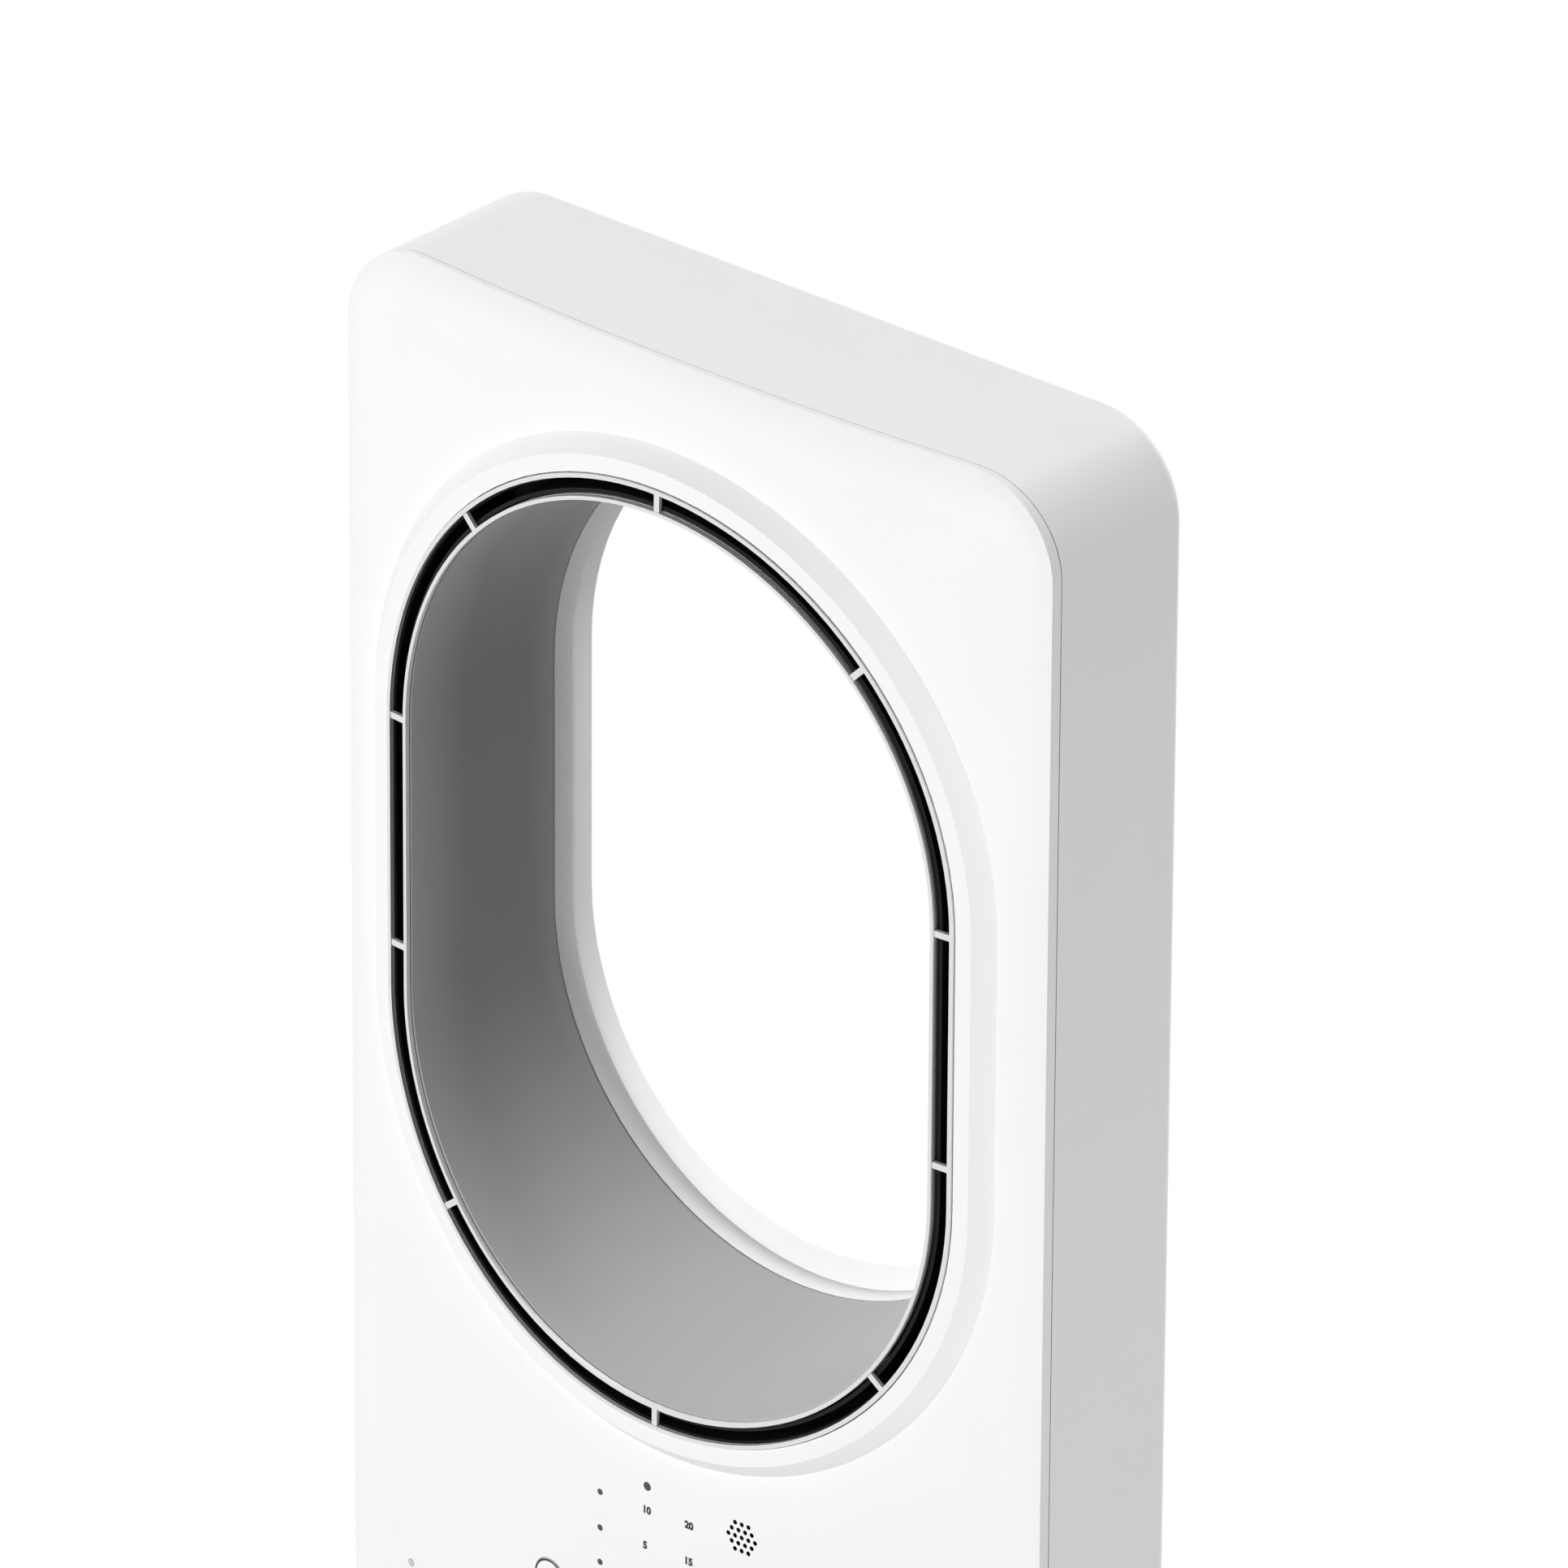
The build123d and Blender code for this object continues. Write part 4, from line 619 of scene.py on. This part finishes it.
def screw_tree(material):
    """Tree that sets a screw on every point, each turned by chance."""
    group = geometry_tree("screws_on_points", {
        "Screw": "NodeSocketObject", "Head radius": "NodeSocketFloat",
        "Facing": "NodeSocketVector", "Seed": "NodeSocketInt"})
    tree = Tree(group)
    points = tree.node("NodeGroupInput")
    pattern, head_radius, outward, seed = points.beside("Screw", "Head radius", "Facing", "Seed")
    screw = tree.node("GeometryNodeObjectInfo", None, {"Object": pattern}, "Geometry")
    turn = tree.node("FunctionNodeRandomValue", {"data_type": "FLOAT"},
                     {2: 0.0, 3: 2 * pi, "Seed": seed}, output=1)
    about = tree.node("ShaderNodeCombineXYZ", None, {"Z": turn})
    facing = tree.node("FunctionNodeEulerToRotation", None, {0: outward})
    own_turn = tree.node("FunctionNodeEulerToRotation", None, {0: about})
    rotation = tree.node("FunctionNodeRotateRotation", {"rotation_space": "LOCAL"},
                         {"Rotation": facing, "Rotate By": own_turn})
    placed = tree.node("GeometryNodeInstanceOnPoints", None, {
        "Points": points, "Instance": screw, "Rotation": rotation, "Scale": head_radius})
    end_tree(tree, placed, material)
    return group


def point_mesh(points, name):
    """Mesh of single points."""
    mesh = bpy.data.meshes.new(name)
    mesh.from_pydata([tuple(point) for point in points], [], [])
    return mesh


def set_screws(name, body, places, outward, screw, group):
    """Screws of one body at these places, their heads turned outward."""
    facing = Vector((0, 0, 1)).rotation_difference(Vector(outward)).to_euler()
    values = {"Screw": screw, "Head radius": SCREW_HEAD_R, "Facing": tuple(facing), "Seed": SCREW_SEED}
    mesh = run_tree(group, point_mesh(places, name), values, name)
    return finish_piece(new_object(name, mesh), body)


def joining_places():
    """Seats of the six screws that join the shells, deep in their wells."""
    low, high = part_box("rear_housing")
    back = Surface("rear_housing")
    middle_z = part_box("plenum_wall")[1].z + JOINING_OVER_PLENUM
    places = []
    for z in (low.z + JOINING_IN_FROM_END, middle_z, high.z - JOINING_IN_FROM_END):
        for x in (low.x + JOINING_IN_FROM_SIDE, high.x - JOINING_IN_FROM_SIDE):
            shoulder = back.hit((x + WELL_SHOULDER_OUT, high.y + BEHIND_BACK, z), (0, -1, 0))
            places.append(Vector((x, shoulder.y, z)))
    return places


def grille_places():
    """Seats of the four screws of the intake grille, on its face."""
    low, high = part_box("intake_grille")
    return [Vector((x, high.y, z)) for x in (low.x + GRILLE_SCREW_IN, high.x - GRILLE_SCREW_IN)
            for z in (low.z + GRILLE_SCREW_IN, high.z - GRILLE_SCREW_IN)]


def base_places():
    """Seats of the four screws of the base plate, on its underside."""
    low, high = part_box("base_plate")
    radius = (high.x - low.x) / 2 - BASE_SCREW_IN
    angles = [BASE_SCREW_TURN + pi / 2 * turn for turn in range(4)]
    return [Vector((radius * cos(a), radius * sin(a), low.z)) for a in angles]


def make_screws(finishes):
    """All the screws that can be seen."""
    screw = new_object("screw_pattern", screw_mesh("screw_pattern"))
    group = screw_tree(finishes["steel"])
    set_screws("joining_screws", "head", joining_places(), (0, 1, 0), screw, group)
    set_screws("grille_screws", "head", grille_places(), (0, 1, 0), screw, group)
    set_screws("base_screws", "stand", base_places(), (0, 0, -1), screw, group)
    bpy.data.objects.remove(screw)


# ---- sound holes and shells ----
def hole_tree(material):
    """Tree of round cutters on a hexagonal lattice, in rings round a middle one."""
    sizes = ("Pitch", "Hole radius", "Reach")
    group = geometry_tree("sound_holes", {name: "NodeSocketFloat" for name in sizes})
    tree = Tree(group)
    pitch, radius, reach = tree.node("NodeGroupInput").beside(*sizes)
    side = 2 * HOLE_RINGS + 1
    grid = tree.node("GeometryNodeMeshGrid", None, {
        "Size X": 2.0 * HOLE_RINGS, "Size Y": 2.0 * HOLE_RINGS, "Vertices X": side, "Vertices Y": side})
    spot = tree.node("GeometryNodeInputPosition")
    column, row = tree.node("ShaderNodeSeparateXYZ", None, {0: spot}).beside("X", "Y")
    outside = (column + row).absolute() > HOLE_RINGS + 0.5
    kept = tree.node("GeometryNodeDeleteGeometry", {"domain": "POINT"}, {0: grid, "Selection": outside})
    place = tree.node("ShaderNodeCombineXYZ", None, {
        "X": (column + row * 0.5) * pitch, "Z": row * (sqrt(3) / 2) * pitch})
    lattice = tree.node("GeometryNodeSetPosition", None, {0: kept, "Position": place})
    cutter = tree.node("GeometryNodeMeshCylinder", None, {
        "Vertices": HOLE_SIDES, "Radius": radius, "Depth": reach})
    placed = tree.node("GeometryNodeInstanceOnPoints", None, {
        "Points": lattice, "Instance": cutter, "Rotation": (pi / 2, 0, 0)})
    end_tree(tree, placed, material)
    return group


def make_smooth_shell(node_name, finishes, own):
    """Show a solid by a copy whose rounds are shaded smooth."""
    record = frame["record"]
    part = next(p for p in record["subparts"] if p["node"] == node_name)
    body = next(b for b, nodes in record["behaviour"]["bodies"].items() if node_name in nodes)
    name = node_name + "_smooth"
    mesh = merged_copy(node_name, name)
    smooth(mesh)
    shell = new_object(name, mesh)
    weigh_normals(shell)
    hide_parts(node_name)
    slot = part["material_slot"]
    return finish_piece(shell, body, own.get(node_name, finishes[slot]))


def sound_hole_cutters(name):
    """Round cutters through the front panel, in front of the sounder."""
    sounder = middle("buzzer")
    face_y = Surface("front_panel").front_y(sounder.x, sounder.z)
    # painted shade: the walls of the sound holes are coloured near black to stand for the shade deep
    # inside them
    painted_hole_shade = moulded("hole_painted_shade", paint(38, 38, 39), 0.7, 0.2 * MM, gloss=0.1)
    values = {"Pitch": HOLE_PITCH, "Hole radius": HOLE_R, "Reach": HOLE_REACH}
    mesh = run_tree(hole_tree(painted_hole_shade), bpy.data.meshes.new("hole_start"), values, name)
    mesh.transform(Matrix.Translation((sounder.x, face_y, sounder.z)))
    return new_object(name, mesh)


def make_front_shell(finishes):
    """The front panel with the sound holes cut in it, their walls painted near black for the shade deep
    in the holes.
    """
    uncut = new_object("front_shell", merged_copy("front_panel", "front_shell"))
    uncut.data.materials.clear()
    uncut.data.materials.append(finishes["shell_white"])
    cutters = sound_hole_cutters("sound_holes")
    cut = uncut.modifiers.new("sound_holes", "BOOLEAN")
    cut.operation = "DIFFERENCE"
    cut.solver = "EXACT"
    cut.object = cutters
    cut.material_mode = "TRANSFER"
    mesh = evaluated(uncut, "front_shell")
    bpy.data.objects.remove(uncut)
    bpy.data.objects.remove(cutters)
    smooth(mesh)
    shell = new_object("front_shell", mesh)
    weigh_normals(shell)
    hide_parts("front_panel")
    return finish_piece(shell, "head")


# ---- printed marks ----
def number_mesh(figures, name):
    """Thin solid figures, centred, upright in the XZ plane and facing -Y."""
    curve = bpy.data.curves.new(name, "FONT")
    curve.body = figures
    curve.size = NUMBER_SIZE
    curve.offset = NUMBER_STROKE
    curve.align_x = "CENTER"
    curve.align_y = "CENTER"
    curve.extrude = (INK_T + INK_SINK) / 2
    text = new_object(name, curve)
    mesh = evaluated(text, name)
    bpy.data.objects.remove(text)
    mesh.transform(Matrix.Rotation(pi / 2, 4, "X"))
    return mesh


def lay_on_face(mesh, x, z, face, lift):
    """Move a flat mesh to its place and bend it to the crowned face."""
    for vertex in mesh.vertices:
        across, depth, up = vertex.co
        vertex.co = (x + across, face.front_y(x + across, z + up) + depth - lift, z + up)


def ring_strip(radius, start, end, line, centre=(0.0, 0.0)):
    """Round line between two angles, as pairs of points on its two edges."""
    steps = max(LINE_STEPS, int(abs(end - start) / LINE_TURN))
    pairs = []
    for k in range(steps + 1):
        a = start + (end - start) * k / steps
        outward = Vector((cos(a), sin(a)))
        pairs.append([Vector(centre) + outward * (radius + side * line / 2) for side in (-1, 1)])
    return pairs


def bar_strip(start, end, line):
    """Straight line from start to end, as pairs of points on its two edges."""
    a, b = Vector(start), Vector(end)
    side = (b - a).orthogonal().normalized() * (line / 2)
    middles = [a.lerp(b, k / LINE_STEPS) for k in range(LINE_STEPS + 1)]
    return [[place + side, place - side] for place in middles]


def power_sign(r, line):
    """Ring open at the top, with a bar in its gap."""
    ring = ring_strip(r, radians(125), radians(415), line)
    return [ring, bar_strip((0, 0.2 * r), (0, 1.15 * r), line)]


def speed_sign(r, line):
    """Fan of three blades, each an open round."""
    blade_out, blade_r = 0.62 * r, 0.42 * r
    blades = []
    for turn in range(3):
        a = radians(90 + 120 * turn)
        centre = (blade_out * cos(a), blade_out * sin(a))
        blades.append(ring_strip(blade_r, a - 0.5 * pi, a + 0.9 * pi, line, centre))
    return blades


def timer_sign(r, line):
    """Clock with two hands."""
    hands = [bar_strip((0, 0), tip, line) for tip in ((0, 0.62 * r), (0.5 * r, 0))]
    return [ring_strip(r, 0, 2 * pi, line)] + hands


def swing_sign(r, line):
    """Arc with an arrow tip at each end, over an upright bar."""
    start, end = radians(25), radians(155)
    strips = [ring_strip(r, start, end, line), bar_strip((0, -0.7 * r), (0, 0.35 * r), line)]
    for side in (1, -1):
        tip_x, tip_y = side * r * cos(start), r * sin(start)
        for inward, up in ((0.1 * r, 0.55 * r), (0.62 * r, 0.12 * r)):
            strips.append(bar_strip((tip_x, tip_y), (tip_x - side * inward, tip_y + up), line))
    return strips


SIGNS = dict(zip(KEYS, (power_sign, speed_sign, timer_sign, swing_sign)))


def strips_mesh(strips, name):
    """Thin solid of these lines, upright in the XZ plane and facing -Y."""
    shape = bmesh.new()
    for strip in strips:
        closed = (strip[0][0] - strip[-1][0]).length < WELD_GAP
        pairs = strip[:-1] if closed else strip
        rings = []
        for first, second in pairs:
            around = ((first, -1), (second, -1), (second, 1), (first, 1))
            rings.append([shape.verts.new((spot.x, side * INK_T / 2, spot.y)) for spot, side in around])
        steps = neighbours(rings) if closed else zip(rings, rings[1:])
        for here, there in steps:
            add_band(shape, here, there)
        if not closed:
            shape.faces.new(rings[0])
            shape.faces.new(rings[-1])
    bmesh.ops.recalc_face_normals(shape, faces=shape.faces)
    return mesh_of(shape, name)


def make_marks(finish):
    """Numbers beside the lamps, and on each key a sign inside a ring."""
    face = Surface("front_panel")
    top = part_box("front_panel")[1].z
    for figures, x, down in NUMBERS:
        name = "number_" + figures
        mesh = number_mesh(figures, name)
        lay_on_face(mesh, x, top - down, face, lift=0.0)
        finish_piece(new_object(name, mesh), "head", finish)
    for key, draw_sign in SIGNS.items():
        name = key + "_sign"
        ring = ring_strip(KEY_RING_R, 0, 2 * pi, KEY_RING_LINE)
        mesh = strips_mesh(draw_sign(SIGN_R, SIGN_LINE) + [ring], name)
        centre = middle(key)
        lay_on_face(mesh, centre.x, centre.z, Surface(key), lift=INK_T / 2)
        finish_piece(new_object(name, mesh), key + "_body", finish)


# ---- filter ----
def pleat_tree(material):
    """Tree of a zigzag felt sheet that leaves room for the corner blocks."""
    sizes = ("Width", "Height", "Depth", "Pitch", "Corner", "Thickness")
    group = geometry_tree("filter_pleats", {name: "NodeSocketFloat" for name in sizes})
    tree = Tree(group)
    width, height, depth, pitch, corner, thickness = tree.node("NodeGroupInput").beside(*sizes)
    rows = width.math("ROUND", height / pitch * 2.0)
    sheet = tree.node("GeometryNodeMeshGrid", None, {
        "Size X": width, "Size Y": height, "Vertices X": PLEAT_COLUMNS, "Vertices Y": rows + 1.0})
    spot = tree.node("GeometryNodeInputPosition")
    x, y = tree.node("ShaderNodeSeparateXYZ", None, {0: spot}).beside("X", "Y")
    in_corner = (x.absolute() > width / 2.0 - corner) * (y.absolute() > height / 2.0 - corner)
    kept = tree.node("GeometryNodeDeleteGeometry", {"domain": "FACE"}, {0: sheet, "Selection": in_corner})
    step = y / (height / rows)
    fold = step.math("PINGPONG", step + 0.5, 1.0)
    zigzag = tree.node("ShaderNodeCombineXYZ", None, {
        "X": x, "Y": fold.spread(depth - thickness), "Z": y})
    folded = tree.node("GeometryNodeSetPosition", None, {0: kept, "Position": zigzag})
    end_tree(tree, folded, material)
    return group


def make_filter(finishes):
    """Pleated felt behind the intake grille."""
    low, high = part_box("intake_filter")
    size = high - low
    values = {"Width": size.x, "Height": size.z, "Depth": size.y, "Pitch": PLEAT_PITCH,
              "Corner": PLEAT_CORNER, "Thickness": PLEAT_SHEET_T}
    start = bpy.data.meshes.new("pleat_start")
    mesh = run_tree(pleat_tree(finishes["filter_fabric"]), start, values, "filter_pleats")
    mesh.transform(Matrix.Translation((low + high) / 2))
    pleats = new_object("filter_pleats", mesh)
    wall = pleats.modifiers.new("felt", "SOLIDIFY")
    wall.thickness = PLEAT_SHEET_T
    wall.offset = 0.0
    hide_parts("intake_filter")
    return finish_piece(pleats, "head")


# ---- stage ----
def seen_directly(tree):
    """1 for rays from the camera, from gloss and through glass."""
    camera, glossy, through = tree.node("ShaderNodeLightPath").beside(
        "Is Camera Ray", "Is Glossy Ray", "Is Transmission Ray")
    return (camera + glossy + through).limited()


def make_floor():
    """Pale floor that shows the shadow near the stand and fades to white further out."""
    shape = bmesh.new()
    bmesh.ops.create_circle(shape, cap_ends=True, segments=FLOOR_SIDES, radius=FLOOR_RADIUS)
    floor = new_object("floor", mesh_of(shape, "floor"))
    finish = Finish("floor_white")
    distance = finish.node("ShaderNodeVectorMath", {"operation": "LENGTH"}, {0: finish.place}, "Value")
    fade = ((distance - FLOOR_SHOWN_TO) / (FLOOR_WHITE_FROM - FLOOR_SHOWN_TO)).limited()
    grain = finish.noise(size=4 * MM, detail=3.0)
    pale = (FLOOR_ALBEDO, FLOOR_ALBEDO, FLOOR_ALBEDO, 1.0)
    grained = finish.blend(grain, shaded(pale, 0.03), pale)
    matt = finish.node("ShaderNodeBsdfDiffuse", None, {"Color": grained})
    glow = finish.node("ShaderNodeEmission", None, {"Color": (1, 1, 1, 1), "Strength": FLOOR_GLOW})
    white = finish.node("ShaderNodeEmission", None, {"Color": (1, 1, 1, 1), "Strength": 1.0})
    seen = seen_directly(finish)
    lifted = finish.node("ShaderNodeAddShader", None, {0: matt, 1: glow})
    shown = finish.node("ShaderNodeMixShader", None, {0: seen, 1: matt, 2: lifted})
    mixed = finish.node("ShaderNodeMixShader", None, {0: fade * seen, 1: shown, 2: white})
    finish.node("ShaderNodeOutputMaterial", None, {"Surface": mixed})
    floor.data.materials.append(finish.material)
    return floor


def make_world():
    """White where it is seen or mirrored, and a plain soft light elsewhere."""
    world = bpy.data.worlds.new("studio")
    world.use_nodes = True
    bpy.context.scene.world = world
    world.node_tree.nodes.clear()
    tree = Tree(world.node_tree)
    strength = AMBIENT + (1.0 - AMBIENT) * seen_directly(tree)
    light = tree.node("ShaderNodeBackground", None, {"Color": (1, 1, 1, 1), "Strength": strength})
    tree.node("ShaderNodeOutputWorld", None, {"Surface": light})


def turn_to(holder, direction):
    """Turn a lamp at the object from this side of it."""
    holder.rotation_euler = Vector(direction).to_track_quat("Z", "Y").to_euler()


def make_lamps():
    """Lit panels near the object, in front and low at the right, and soft far lamps."""
    for name, (place, aim, side, light) in PANELS.items():
        away = Vector(place) - Vector(aim)
        lamp = bpy.data.lights.new(name, "AREA")
        lamp.shape = "SQUARE"
        lamp.size = side
        lamp.energy = light * pi ** 2 * away.length_squared
        holder = new_object(name, lamp)
        holder.location = place
        turn_to(holder, away)
    for name, (direction, light, softness) in LAMPS.items():
        lamp = bpy.data.lights.new(name, "SUN")
        lamp.energy = light * pi
        lamp.angle = softness
        turn_to(new_object(name, lamp), direction)


def make_camera():
    """Camera at the photograph's place and angle."""
    azimuth, elevation, roll = CAMERA_AZIMUTH, CAMERA_ELEVATION, CAMERA_ROLL
    back = Vector((sin(azimuth) * cos(elevation), -cos(azimuth) * cos(elevation), sin(elevation)))
    right = Vector((cos(azimuth), sin(azimuth), 0))
    up = back.cross(right)
    turned_right = right * cos(roll) + up * sin(roll)
    turned_up = up * cos(roll) - right * sin(roll)
    data = bpy.data.cameras.new("photo_camera")
    data.sensor_width = SENSOR_MM
    data.lens = SENSOR_MM * FOCAL_PX / PHOTO_SIDE_PX
    camera = new_object("photo_camera", data)
    turn = Matrix((turned_right, turned_up, back)).transposed().to_4x4()
    camera.matrix_world = Matrix.Translation(CAMERA_TARGET + back * CAMERA_DISTANCE) @ turn
    bpy.context.scene.camera = camera


finishes = make_finishes()
own = own_finishes()
put_finishes(finishes, own)
for shell_name in SMOOTH_SHELLS:
    make_smooth_shell(shell_name, finishes, own)
make_front_shell(finishes)
make_screws(finishes)
make_filter(finishes)
make_marks(ink("mark_ink", paint(52, 52, 54)))
make_floor()
make_world()
make_lamps()
make_camera()
bpy.context.scene.view_settings.view_transform = "Standard"
